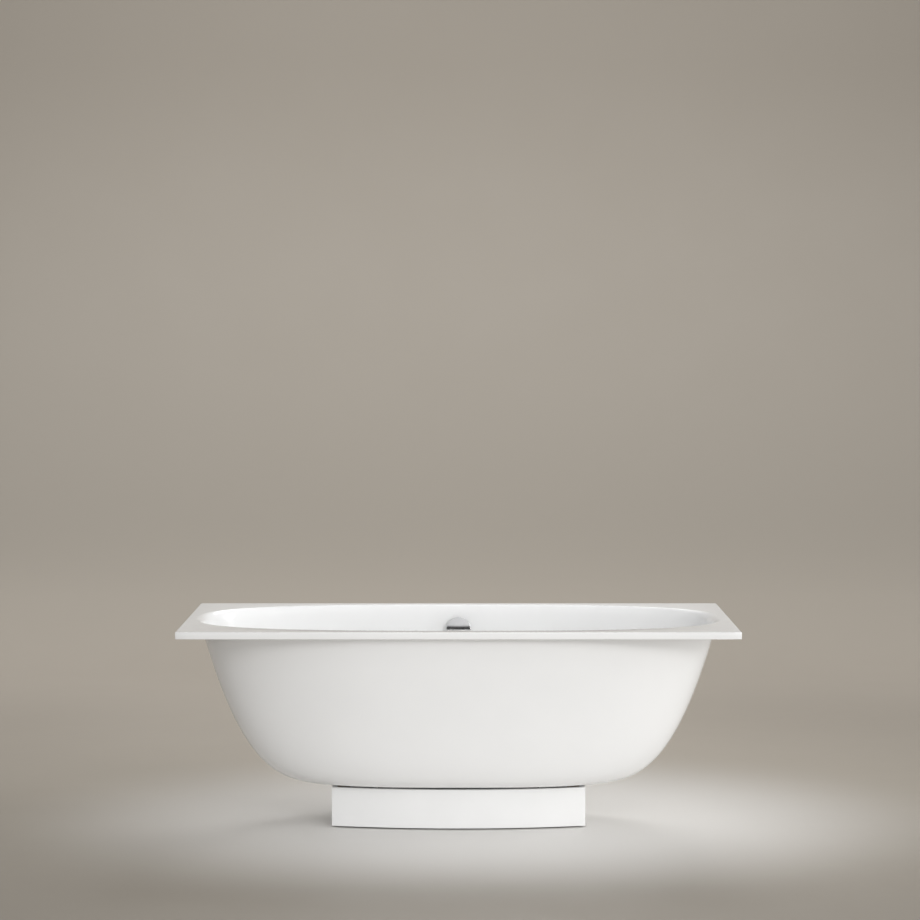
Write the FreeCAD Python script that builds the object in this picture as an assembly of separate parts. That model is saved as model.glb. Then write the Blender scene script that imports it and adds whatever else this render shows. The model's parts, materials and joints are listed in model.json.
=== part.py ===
import FreeCAD
import Part
import math
import os
from FreeCAD import Vector

# A built-in bathtub: an oval basin under a flat rectangular rim, carried by two cross bearers on
# levelling feet inside a plinth with a bowed front. A rotary knob on the overflow lifts the drain
# plug through a pull rod and a rocker that run inside the overflow pipe.
# Millimetres. The origin is on the floor under the middle of the bath, +X runs along the bath,
# +Y goes to the wall behind it and +Z is up.

# Rim and shell
RIM_LENGTH = 1700.0
RIM_WIDTH = 750.0
RIM_EDGE = 21.0
RIM_CORNER = 3.0
SHELL_HEIGHT = 508.0
WALL_TOP_LENGTH = 1612.0
WALL_TOP_WIDTH = 680.0
BASE_LENGTH = 860.0
BASE_WIDTH = 330.0
MOUTH_LENGTH = 1648.0
MOUTH_WIDTH = 669.0
WALL = 12.0
FLOOR_THICKNESS = 15.0
LIP_DEPTH = 30.0
OVAL_POWER = 2.8
SWELL_POWER = 2.86
OVAL_POINTS = 32
OUTER_STATION_SHARES = (0.0, 0.1, 0.2, 0.32, 0.45, 0.58, 0.7, 0.8, 0.9, 1.0)
INNER_STATION_SHARES = (1.0, 0.93, 0.85, 0.75, 0.63, 0.5, 0.37, 0.24, 0.12, 0.0)
LIP_STATION_SHARES = (0.0, 0.25, 0.5, 0.75)

# Heights under the shell
FLOOR_GAP = 5.0
PLINTH_HEIGHT = 121.0
SHADOW_GAP = 6.0

# Plinth
PLINTH_LENGTH = 788.0
PLINTH_DEPTH = 360.0
PLINTH_BOW = 42.0
PANEL = 16.0
POST_SIDE = 30.0
POST_DEPTH = 44.0
POST_SHORT = 6.0
SERVICE_LEFT = 40.0
SERVICE_RIGHT = 196.0
SERVICE_SILL = 44.0

# Bearers, pads and brackets
BEARER_PLACE = 290.0
BEARER_WIDTH = 40.0
BEARER_HEIGHT = 30.0
BEARER_WALL = 3.0
BEARER_LENGTH = 270.0
PAD_LENGTH = 60.0
PAD_WIDTH = 36.0
PAD_PLACE = 96.0
BRACKET_WIDTH = 32.0
BRACKET_PLATE = 3.0
BRACKET_LEG = 46.0
BRACKET_REACH = 17.0

# Levelling feet
FOOT_PLACE = 104.0
FOOT_TRAVEL = 12.0
STUD_RADIUS = 6.0
STUD_BALL = 8.0
STUD_FLAT = 17.0
STUD_FLAT_HEIGHT = 10.0
FOOT_RADIUS = 27.0
FOOT_TOP_RADIUS = 13.0
FOOT_EDGE = 4.0
FOOT_HEIGHT = 15.0
FOOT_BASE = 3.0
LOCK_NUT_ACROSS = 19.0
LOCK_NUT_HEIGHT = 10.0

# Pipes, sockets, slip nuts
WASTE_PIPE_RADIUS = 20.0
OVERFLOW_PIPE_RADIUS = 16.0
PIPE_WALL = 2.0
SOCKET_WALL = 2.5
SOCKET_DEPTH = 20.0
WASHER = 4.0
NUT_WALL = 3.5
NUT_SKIRT = 15.0
NUT_END = 4.0
NUT_RIB = 1.6
NUT_RIB_WIDTH = 4.0
NUT_RIBS = 10

# Drain
DRAIN_PLACE = 124.0
DRAIN_HOLE_RADIUS = 26.0
FLANGE_RADIUS = 36.0
FLANGE_EDGE = 3.0
FLANGE_GASKET = 1.0
SEAT_RADIUS = 30.0
SEAT_DEPTH = 4.0
THROAT_RADIUS = 22.5
NECK_LENGTH = 27.0
SPIDER_HEIGHT = 8.0
SPIDER_LEDGE = 2.0
SPIDER_RIM = 2.5
SPIDER_ARM = 10.0
SPIDER_BOSS_RADIUS = 8.0
SPIDER_COUNT = 3
SPIDER_ANGLE = 30.0
DRAIN_SCREW_RING = 15.5
DRAIN_SEAL = 4.0
DRAIN_SEAL_RADIUS = 38.0
CUP_FLANGE_RADIUS = 40.0
CUP_FLANGE = 4.0
CUP_RADIUS = 32.0
CUP_WALL = 4.0
CUP_BOTTOM = 60.0
LUG_WIDTH = 12.0
LUG_HEIGHT = 8.0
LUG_INNER_RADIUS = 11.0
TRAP_AXIS_HEIGHT = 84.0
TRAP_MOUTH_REACH = 56.0
ARM_AXIS_HEIGHT = 100.0
ARM_MOUTH_REACH = 116.0

# Plug
PLUG_RADIUS = 38.0
PLUG_LIFT = 12.0
PLUG_STAND = 1.0
PLUG_EDGE = 2.2
PLUG_DOME = 6.5
PLUG_SEAL_DEPTH = 3.0
PLUG_SEAL_INNER_RADIUS = 21.0
STEM_RADIUS = 4.0
STEM_HEAD = 3.0
ADJUSTER_LENGTH = 12.0
ADJUSTER_RADIUS = 2.5
ADJUSTER_HEAD_RADIUS = 4.0
ADJUSTER_HEAD = 4.0
ADJUSTER_NUT_ACROSS = 8.0
ADJUSTER_NUT = 3.2

# Rocker
PIVOT_REACH = 78.0
ROCKER_RADIUS = 3.0
ROCKER_HUB_RADIUS = 6.0
ROCKER_HUB_WIDTH = 8.0
ROCKER_BALL_RADIUS = 4.0
PIVOT_RADIUS = 2.5
PIVOT_BOSS_RADIUS = 8.0
PIVOT_BOSS_REACH = 23.0
PIVOT_HEAD_RADIUS = 5.0
PIVOT_HEAD = 3.0

# Overflow
OVERFLOW_DROP = 80.0
OVERFLOW_HOLE_RADIUS = 27.0
SEAT_CUT = 0.8
INNER_GASKET = 1.5
PLATE_RADIUS = 34.0
PLATE = 2.5
PLATE_OPENING_RADIUS = 26.0
PLATE_ARM = 12.0
PLATE_BOSS_RADIUS = 9.0
PLATE_BOSS_DEPTH = 10.0
OVERFLOW_SCREW_RING = 21.0
OUTER_GASKET = 3.0
BODY_FLANGE_RADIUS = 42.0
BODY_FLANGE = 4.0
CHAMBER_RADIUS = 31.5
CHAMBER_WALL = 3.0
CHAMBER_DEPTH = 24.0
BODY_LUG_RADIUS = 5.5
BODY_LUG_DEPTH = 9.0
PIPE_WALL_GAP = 3.6
BODY_SOCKET_REACH = 62.0
LIP_SEAL_HEIGHT = 6.0
ELBOW_LEG = 52.0
ELBOW_SPIGOT_START = 22.0

# Knob and its drive
KNOB_RADIUS = 40.0
KNOB_GAP = 5.0
KNOB_SIDE = 20.0
KNOB_DOME = 3.0
KNOB_SKIN = 3.0
KNOB_EDGE = 2.0
KNOB_HUB_RADIUS = 11.0
KNOB_TURN = 90.0
SPINDLE_RADIUS = 5.0
SPINDLE_GRIP = 12.0
GRUB_RADIUS = 2.5
GRUB_LENGTH = 6.0
CRANK_DISC = 4.0
CRANK_RIM = 4.5
CRANK_PIN_RADIUS = 2.5
YOKE_HEIGHT = 13.0
YOKE_THICKNESS = 4.0
YOKE_END = 3.0
YOKE_PLAY = 0.5
ROD_RADIUS = 3.0
ROD_FOOT_RADIUS = 6.0
ROD_FOOT = 5.0

# Trap and outlet
TRAP_BEND = 28.0
TRAP_RUN = 70.0
TRAP_DROP = 58.0
TRAP_WIDTH = 60.0
OUTLET_AXIS_HEIGHT = 98.0
OUTLET_MOUTH_PLACE = 178.0
OUTLET_END_PLACE = 300.0

# Screws
PLATE_SCREW_RADIUS = 2.5
PLATE_SCREW_HEAD_RADIUS = 4.4
PLATE_SCREW_HEAD = 3.0
PANEL_SCREW_RADIUS = 2.0
PANEL_SCREW_HEAD_RADIUS = 4.0
PANEL_SCREW_HEAD = 2.6
PANEL_SCREW_BITE = 11.0
SOCKET_SHARE = 0.5
SCREW_SOCKET_SHARE = 0.55

# Clearances
FIT = 0.3
RUNNING = 0.05
THREAD = 0.02
CONTACT = 0.4
OVERRUN = 5.0

# Heights and places worked out from the sizes above
base_z = FLOOR_GAP + PLINTH_HEIGHT + SHADOW_GAP
top_z = base_z + SHELL_HEIGHT
floor_z = base_z + FLOOR_THICKNESS
recess_z = floor_z - FLANGE_EDGE - FLANGE_GASKET
plinth_top = FLOOR_GAP + PLINTH_HEIGHT
rise = SHELL_HEIGHT - RIM_EDGE
inner_rise = rise - WALL
UP = Vector(0, 0, 1)
BACK = Vector(0, 1, 0)
SIDE = Vector(1, 0, 0)
ORIGIN = Vector(0, 0, 0)


def cylinder(radius, low, high, x=0.0, y=0.0):
    """An upright cylinder between two heights."""
    return Part.makeCylinder(radius, high - low, Vector(x, y, low))


def ring(outer, inner, low, high, x=0.0, y=0.0):
    """An upright ring between two heights."""
    return cylinder(outer, low, high, x, y).cut(cylinder(inner, low, high, x, y))


def bar(start, end, radius):
    """A round bar from one point to another."""
    return Part.makeCylinder(radius, (end - start).Length, start, end - start)


def block(x, y, z):
    """A box from three pairs of limits."""
    return Part.makeBox(x[1] - x[0], y[1] - y[0], z[1] - z[0], Vector(x[0], y[0], z[0]))


def turned(points):
    """A solid turned about Z from a closed outline of radius and height."""
    outline = [Vector(radius, 0, height) for radius, height in points]
    return Part.Face(Part.makePolygon(outline + outline[:1])).revolve(ORIGIN, UP, 360)


def prism(across, sides, low, high):
    """An upright prism with a regular outline, measured across its flats."""
    reach = across / 2 / math.cos(math.pi / sides)
    turns = [2 * math.pi * index / sides for index in range(sides)]
    outline = [Vector(reach * math.cos(turn), reach * math.sin(turn), low) for turn in turns]
    return Part.Face(Part.makePolygon(outline + outline[:1])).extrude(UP * (high - low))


def joined(shapes):
    """One solid from overlapping solids."""
    return shapes[0].multiFuse(shapes[1:]).removeSplitter()


def placed(shape, base, direction=UP):
    """A copy of a shape with its own Z axis along a direction."""
    copy = shape.copy()
    copy.Placement = FreeCAD.Placement(base, FreeCAD.Rotation(UP, direction)).multiply(copy.Placement)
    return copy


def around(shape, count, first=0.0, x=0.0, y=0.0):
    """Copies of a shape spread evenly around an upright axis."""
    copies = []
    for index in range(count):
        copy = shape.copy()
        copy.rotate(Vector(x, y, 0), UP, first + 360.0 * index / count)
        copies.append(copy)
    return copies


def mirrored_four(shape):
    """The shape and its three mirror images about the bath's two middle planes."""
    right = [shape, shape.mirror(ORIGIN, BACK)]
    return right + [one.mirror(ORIGIN, SIDE) for one in right]


def bent_wire(points, bend):
    """Straight runs joined by tangent arcs of one radius."""
    edges = []
    start = points[0]
    for before, corner, after in zip(points, points[1:], points[2:]):
        into = Vector(corner - before).normalize()
        out = Vector(after - corner).normalize()
        half_turn = into.getAngle(out) / 2
        reach = bend * math.tan(half_turn)
        middle = corner + Vector(out - into).normalize() * bend * (1 / math.cos(half_turn) - 1)
        edges.append(Part.LineSegment(start, corner - into * reach).toShape())
        edges.append(Part.Arc(corner - into * reach, middle, corner + out * reach).toShape())
        start = corner + out * reach
    edges.append(Part.LineSegment(start, points[-1]).toShape())
    return Part.Wire(edges)


def bent_bar(points, bend, radius):
    """A round bar along a bent wire."""
    section = Part.Wire(Part.makeCircle(radius, points[0], points[1] - points[0]))
    return bent_wire(points, bend).makePipeShell([section], True, False)


def screw(radius, length, head_radius, head):
    """A cap screw whose head stands on Z zero, with a six-sided socket in it."""
    body = joined([cylinder(head_radius, 0, head), cylinder(radius, -length, head / 2)])
    socket = prism(2 * head_radius * SCREW_SOCKET_SHARE, 6, head * SOCKET_SHARE, head + OVERRUN)
    return body.cut(socket)


# Pipe joints


def socket_radius(pipe_radius):
    return pipe_radius + FIT + SOCKET_WALL


def slip_washer(pipe_radius):
    """The sealing ring at a socket's mouth, which is at Z zero."""
    return ring(socket_radius(pipe_radius), pipe_radius + THREAD, 0, WASHER)


def slip_nut(pipe_radius):
    """The ribbed nut that screws over a socket and presses the sealing ring."""
    bore = socket_radius(pipe_radius) + THREAD
    outside = bore + NUT_WALL
    high = WASHER + NUT_END
    rib = block((outside - NUT_WALL / 2, outside + NUT_RIB), (-NUT_RIB_WIDTH / 2, NUT_RIB_WIDTH / 2),
                (-NUT_SKIRT, high))
    body = joined([cylinder(outside, -NUT_SKIRT, high)] + around(rib, NUT_RIBS))
    body = body.cut(cylinder(bore, -NUT_SKIRT, WASHER))
    return body.cut(cylinder(pipe_radius + FIT, WASHER, high))


# Shell


def unit_oval():
    """A closed smooth outline between an ellipse and a rectangle, one unit each way from its middle."""
    points = []
    for index in range(OVAL_POINTS):
        turn = 2 * math.pi * index / OVAL_POINTS
        x = math.copysign(abs(math.cos(turn)) ** (2 / OVAL_POWER), math.cos(turn))
        y = math.copysign(abs(math.sin(turn)) ** (2 / OVAL_POWER), math.sin(turn))
        points.append(Vector(x, y, 0))
    curve = Part.BSplineCurve()
    curve.interpolate(Points=points, PeriodicFlag=True)
    return curve


def bowl(stations):
    """A solid whose level sections are ovals with the half lengths and half widths of its stations."""
    around_curve = unit_oval()
    down_curve = Part.BSplineCurve()
    down_curve.interpolate([Vector(*station) for station in stations])
    poles = [[Vector(across.x * down.x, across.y * down.y, down.z) for down in down_curve.getPoles()]
             for across in around_curve.getPoles()]
    surface = Part.BSplineSurface()
    surface.buildFromPolesMultsKnots(
        poles, around_curve.getMultiplicities(), down_curve.getMultiplicities(),
        around_curve.getKnots(), down_curve.getKnots(), True, False,
        around_curve.Degree, down_curve.Degree)
    side = surface.toShape()
    ends = [edge for edge in side.Edges if edge.isClosed()]
    caps = [Part.Face(Part.Wire(edge)) for edge in ends]
    skin = Part.makeShell([side] + caps)
    skin.sewShape()
    return Part.makeSolid(skin)


def outer_station(share):
    """Half length, half width and height of the outer wall at a share of its spread."""
    half_length = (BASE_LENGTH + (WALL_TOP_LENGTH - BASE_LENGTH) * share) / 2
    half_width = (BASE_WIDTH + (WALL_TOP_WIDTH - BASE_WIDTH) * share) / 2
    return half_length, half_width, base_z + rise * share**SWELL_POWER


def inner_station(share):
    """Half length, half width and height of the inner wall at a share of its spread."""
    half_length = (BASE_LENGTH + (WALL_TOP_LENGTH - 2 * WALL - BASE_LENGTH) * share) / 2
    half_width = (BASE_WIDTH + (WALL_TOP_WIDTH - 2 * WALL - BASE_WIDTH) * share) / 2
    return half_length, half_width, base_z + WALL + inner_rise * share**SWELL_POWER


def inner_share(height):
    """The share of the inner wall's spread at a height."""
    return ((height - base_z - WALL) / inner_rise) ** (1 / SWELL_POWER)


def inner_slope(share, spread):
    """How far the inner wall leans out per unit of height, for a spread from floor to top."""
    return spread / (SWELL_POWER * inner_rise * share ** (SWELL_POWER - 1))


def lip_station(share):
    """The rolled lip from the mouth on top of the rim down to the inner wall."""
    low = inner_share(top_z - LIP_DEPTH)
    length, width, height = inner_station(low)
    lean_length = inner_slope(low, (WALL_TOP_LENGTH - 2 * WALL - BASE_LENGTH) / 2)
    lean_width = inner_slope(low, (WALL_TOP_WIDTH - 2 * WALL - BASE_WIDTH) / 2)
    corner = (length + lean_length * LIP_DEPTH, width + lean_width * LIP_DEPTH, top_z)
    mouth = (MOUTH_LENGTH / 2, MOUTH_WIDTH / 2, top_z)
    rest = 1 - share
    weights = (rest * rest, 2 * rest * share, share * share)
    points = (mouth, corner, (length, width, height))
    return tuple(sum(weight * point[axis] for weight, point in zip(weights, points)) for axis in range(3))


def basin():
    """The space inside the bath, from the floor to the mouth."""
    low = inner_share(floor_z)
    high = inner_share(top_z - LIP_DEPTH)
    stations = [lip_station(share) for share in LIP_STATION_SHARES]
    stations += [inner_station(low + (high - low) * share) for share in INNER_STATION_SHARES]
    return bowl(stations)


def shell_blank():
    """The outside of the bath: a slab for the rim on the swelling outer wall."""
    half_length = RIM_LENGTH / 2
    half_width = RIM_WIDTH / 2
    slab = block((-half_length, half_length), (-half_width, half_width), (top_z - RIM_EDGE, top_z))
    upright = [edge for edge in slab.Edges if edge.Vertexes[0].Z != edge.Vertexes[1].Z]
    slab = slab.makeFillet(RIM_CORNER, upright)
    wall = bowl([outer_station(share) for share in OUTER_STATION_SHARES])
    return slab.fuse(wall)


# The overflow's own frame: Z out of the wall into the bath, Y up along the wall

overflow_height = top_z - OVERFLOW_DROP
overflow_share = inner_share(overflow_height)
overflow_lean = math.atan(inner_slope(overflow_share, (WALL_TOP_WIDTH - 2 * WALL - BASE_WIDTH) / 2))
overflow_point = Vector(0, inner_station(overflow_share)[1], overflow_height)
overflow_turn = FreeCAD.Rotation(SIDE, 90 - math.degrees(overflow_lean))
overflow_out = overflow_turn.multVec(UP)
overflow_up = overflow_turn.multVec(BACK)
outer_seat = -(WALL - SEAT_CUT)
gasket_back = outer_seat - OUTER_GASKET
flange_back = gasket_back - BODY_FLANGE
chamber_back = flange_back - CHAMBER_DEPTH
pipe_bore = OVERFLOW_PIPE_RADIUS - PIPE_WALL
pipe_socket = socket_radius(OVERFLOW_PIPE_RADIUS)
pipe_back = outer_seat - PIPE_WALL_GAP - pipe_socket
plate_low = INNER_GASKET - SEAT_CUT
plate_high = plate_low + PLATE


def on_overflow(shape):
    """Moves a shape from the overflow's frame to its place on the bath."""
    copy = shape.copy()
    copy.Placement = FreeCAD.Placement(overflow_point, overflow_turn).multiply(copy.Placement)
    return copy


def overflow_place(x, y, z):
    """A point of the overflow's frame in the bath's frame."""
    return overflow_point + SIDE * x + overflow_up * y + overflow_out * z


# The drive's geometry: the pipe's axis meets the drain arm's axis at the elbow

pipe_drop = (ARM_AXIS_HEIGHT - overflow_place(0, 0, pipe_back).z) / overflow_up.z
elbow_point = overflow_place(0, pipe_drop, pipe_back)
pivot_point = Vector(0, DRAIN_PLACE + PIVOT_REACH, ARM_AXIS_HEIGHT)
rear_reach = elbow_point.y - pivot_point.y
rocker_swing = math.asin(PLUG_LIFT / 2 / PIVOT_REACH)
rod_travel = 2 * rear_reach * math.sin(rocker_swing) / overflow_up.z
crank_radius = rod_travel / 2 / math.sin(math.radians(KNOB_TURN / 2))
crank_angle = 180 - KNOB_TURN / 2
crank_pin_x = crank_radius * math.cos(math.radians(crank_angle))
crank_pin_y = crank_radius * math.sin(math.radians(crank_angle))
disc_front = flange_back - CONTACT
disc_back = disc_front - CRANK_DISC
yoke_front = pipe_back + YOKE_THICKNESS / 2
yoke_back = pipe_back - YOKE_THICKNESS / 2


def bath_shell():
    shell = shell_blank().cut(basin())
    shell = shell.cut(cylinder(DRAIN_HOLE_RADIUS, base_z - OVERRUN, floor_z + OVERRUN, 0, DRAIN_PLACE))
    shell = shell.cut(cylinder(FLANGE_RADIUS + FIT, recess_z, floor_z + OVERRUN, 0, DRAIN_PLACE))
    hole = cylinder(OVERFLOW_HOLE_RADIUS, outer_seat - OVERRUN, OVERRUN)
    inner_flat = cylinder(PLATE_RADIUS + FIT, -SEAT_CUT, OVERRUN)
    outer_flat = cylinder(BODY_FLANGE_RADIUS + FIT, outer_seat - OVERRUN, outer_seat)
    for tool in (hole, inner_flat, outer_flat):
        shell = shell.cut(on_overflow(tool))
    return shell


# Plinth


bow_radius = (PLINTH_LENGTH**2 / 4 + PLINTH_BOW**2) / 2 / PLINTH_BOW


def bowed_outline(inset):
    """A prism with bowed front and back, drawn in by a distance, over the plinth's height."""
    radius = bow_radius - inset
    middle = PLINTH_DEPTH / 2 - inset
    half = PLINTH_LENGTH / 2
    end = middle - radius + math.sqrt(radius**2 - half**2)
    left_front = Vector(-half, -end, FLOOR_GAP)
    right_front = Vector(half, -end, FLOOR_GAP)
    right_back = Vector(half, end, FLOOR_GAP)
    left_back = Vector(-half, end, FLOOR_GAP)
    edges = [
        Part.Arc(left_front, Vector(0, -middle, FLOOR_GAP), right_front).toShape(),
        Part.LineSegment(right_front, right_back).toShape(),
        Part.Arc(right_back, Vector(0, middle, FLOOR_GAP), left_back).toShape(),
        Part.LineSegment(left_back, left_front).toShape(),
    ]
    return Part.Face(Part.Wire(edges)).extrude(UP * PLINTH_HEIGHT)


def bow_at(x, inset):
    """How far the bowed panel's face stands from the middle plane at a place along it."""
    radius = bow_radius - inset
    return PLINTH_DEPTH / 2 - inset - radius + math.sqrt(radius**2 - x**2)


plinth_core = bowed_outline(PANEL)
plinth_height = (FLOOR_GAP, plinth_top)
end_inner = PLINTH_LENGTH / 2 - PANEL
post_height = (FLOOR_GAP + POST_SHORT, plinth_top - POST_SHORT)
bearer_low = plinth_top - BEARER_HEIGHT
bracket_low = bearer_low - BRACKET_LEG
bracket_start = BEARER_LENGTH / 2 - BRACKET_REACH
bracket_screw_height = bracket_low + BRACKET_LEG / 3


def bowed_panels():
    """The front and the back panel, from front to back."""
    both = bowed_outline(0).cut(plinth_core).Solids
    return sorted(both, key=lambda solid: solid.CenterOfMass.y)


def end_panel():
    """The right end panel, between the front and the back one."""
    wide = (-PLINTH_DEPTH, PLINTH_DEPTH)
    return plinth_core.common(block((end_inner, PLINTH_LENGTH / 2), wide, plinth_height))


def corner_post():
    """The post in the plinth's right back corner."""
    low = bow_at(end_inner, PANEL) - POST_DEPTH
    return plinth_core.common(block((end_inner - POST_SIDE, end_inner), (low, PLINTH_DEPTH), post_height))


def bracket():
    """The angle that hangs the back panel on the right bearer."""
    x = (BEARER_PLACE - BRACKET_WIDTH / 2, BEARER_PLACE + BRACKET_WIDTH / 2)
    y = (bracket_start, PLINTH_DEPTH)
    shelf = block(x, y, (bearer_low - BRACKET_PLATE, bearer_low))
    face = bow_at(x[0], PANEL)
    leg = block(x, (face - 2 * BRACKET_PLATE, PLINTH_DEPTH), (bracket_low, bearer_low))
    return plinth_core.common(joined([shelf, leg]))


def panel_screw(length, seat, direction):
    """A plinth screw with its head on a seat, and the hole it goes into."""
    one = screw(PANEL_SCREW_RADIUS, length, PANEL_SCREW_HEAD_RADIUS, PANEL_SCREW_HEAD)
    return placed(one, seat, -direction), bar(seat, seat + direction * length, PANEL_SCREW_RADIUS + THREAD)


def bracket_screw():
    """The screw through the bracket into the back panel, with its hole."""
    inside = bow_at(BEARER_PLACE - BRACKET_WIDTH / 2, PANEL) - 2 * BRACKET_PLATE
    length = bow_at(BEARER_PLACE, PANEL) - inside + PANEL_SCREW_BITE
    return panel_screw(length, Vector(BEARER_PLACE, inside, bracket_screw_height), BACK)


def post_screws():
    """The two screws that hold the right back corner post, each with its hole."""
    post_face = bow_at(end_inner, PANEL) - POST_DEPTH
    low = post_height[0] + POST_SIDE
    high = post_height[1] - POST_SIDE
    to_back = Vector(end_inner - POST_SIDE / 2, post_face, low)
    to_end = Vector(end_inner - POST_SIDE, post_face + POST_DEPTH / 2, high)
    return [
        panel_screw(POST_DEPTH + PANEL_SCREW_BITE, to_back, BACK),
        panel_screw(POST_SIDE + PANEL_SCREW_BITE, to_end, SIDE),
    ]


def bearer():
    """The right cross bearer: a square tube with a hole for each foot's stud."""
    half = BEARER_WIDTH / 2
    x = (BEARER_PLACE - half, BEARER_PLACE + half)
    y = (-BEARER_LENGTH / 2, BEARER_LENGTH / 2)
    inner_x = (x[0] + BEARER_WALL, x[1] - BEARER_WALL)
    inner_z = (bearer_low + BEARER_WALL, plinth_top - BEARER_WALL)
    tube = block(x, y, (bearer_low, plinth_top)).cut(block(inner_x, y, inner_z))
    for place in (-FOOT_PLACE, FOOT_PLACE):
        hole = cylinder(STUD_RADIUS + FIT, bearer_low, inner_z[0], BEARER_PLACE, place)
        tube = tube.cut(hole)
    return tube


def bearer_pad():
    """The rubber pad between the right bearer and the shell, towards the back."""
    x = (BEARER_PLACE - PAD_WIDTH / 2, BEARER_PLACE + PAD_WIDTH / 2)
    return block(x, (PAD_PLACE - PAD_LENGTH / 2, PAD_PLACE + PAD_LENGTH / 2), (plinth_top, base_z))


# Feet


foot_point = Vector(BEARER_PLACE, FOOT_PLACE, 0)
ball_height = FOOT_BASE + STUD_BALL


def stud_nut(low):
    """A nut on the right back foot's stud, standing on a height."""
    nut = prism(LOCK_NUT_ACROSS, 6, low, low + LOCK_NUT_HEIGHT)
    return placed(nut.cut(cylinder(STUD_RADIUS + RUNNING, low, low + LOCK_NUT_HEIGHT)), foot_point)


def foot_stud():
    """The right back foot's threaded stud, with a ball below and a hexagon to turn it."""
    flat_low = FOOT_HEIGHT + FIT
    stud_top = bearer_low + BEARER_WALL + LOCK_NUT_HEIGHT + FOOT_TRAVEL
    ball = Part.makeSphere(STUD_BALL, Vector(0, 0, ball_height))
    neck = cylinder(STUD_RADIUS, ball_height, stud_top)
    flats = prism(STUD_FLAT, 6, flat_low, flat_low + STUD_FLAT_HEIGHT)
    return placed(joined([ball, neck, flats]), foot_point)


def foot_pad():
    """The right back foot's pad, with a cup for the stud's ball."""
    cone = turned([
        (0, 0), (FOOT_RADIUS, 0), (FOOT_RADIUS, FOOT_EDGE),
        (FOOT_TOP_RADIUS, FOOT_HEIGHT), (0, FOOT_HEIGHT),
    ])
    cone = cone.cut(Part.makeSphere(STUD_BALL + RUNNING, Vector(0, 0, ball_height)))
    return placed(cone.cut(cylinder(STUD_RADIUS + FIT, ball_height, FOOT_HEIGHT + OVERRUN)), foot_point)


# Drain


neck_low = floor_z - NECK_LENGTH
spider_low = neck_low + SPIDER_LEDGE
spider_top = neck_low + SPIDER_HEIGHT
neck_radius = DRAIN_HOLE_RADIUS - FIT
cup_top = base_z - DRAIN_SEAL
cup_neck = cup_top - CUP_FLANGE
cup_bore = CUP_RADIUS - CUP_WALL
lug_top = neck_low - CONTACT
drain_axis = Vector(0, DRAIN_PLACE, 0)


def at_drain(shape):
    return placed(shape, drain_axis)


def drain_flange():
    """The chromed seat ring, with a neck whose ledge carries the spider."""
    under = floor_z - FLANGE_EDGE
    seat_low = floor_z - SEAT_DEPTH
    seat_inner = SEAT_RADIUS - SEAT_DEPTH
    ledge_radius = THROAT_RADIUS - SPIDER_LEDGE
    return at_drain(turned([
        (SEAT_RADIUS, floor_z), (FLANGE_RADIUS, floor_z), (FLANGE_RADIUS, under), (neck_radius, under),
        (neck_radius, neck_low), (ledge_radius, neck_low), (ledge_radius, spider_low),
        (THROAT_RADIUS, spider_low), (THROAT_RADIUS, seat_low - (seat_inner - THROAT_RADIUS)),
        (seat_inner, seat_low),
    ]))


def drain_spider():
    """The spider in the flange's neck, which guides the plug's stem and takes the screws."""
    rim_radius = THROAT_RADIUS - RUNNING
    rim_inner = THROAT_RADIUS - SPIDER_RIM
    height = (spider_low, spider_top)
    arm = block((0, rim_inner + FIT), (-SPIDER_ARM / 2, SPIDER_ARM / 2), height)
    body = joined([
        ring(rim_radius, rim_inner, *height),
        cylinder(SPIDER_BOSS_RADIUS, *height),
    ] + around(arm, SPIDER_COUNT, SPIDER_ANGLE))
    body = body.cut(cylinder(STEM_RADIUS + RUNNING, *height))
    hole = cylinder(PLATE_SCREW_RADIUS + FIT, *height, DRAIN_SCREW_RING)
    for one in around(hole, SPIDER_COUNT, SPIDER_ANGLE):
        body = body.cut(one)
    return at_drain(body)


def drain_screws():
    length = spider_top - lug_top + LUG_HEIGHT
    one = screw(PLATE_SCREW_RADIUS, length, PLATE_SCREW_HEAD_RADIUS, PLATE_SCREW_HEAD)
    one = placed(one, Vector(DRAIN_SCREW_RING, 0, spider_top))
    return at_drain(Part.makeCompound(around(one, SPIDER_COUNT, SPIDER_ANGLE)))


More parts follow.
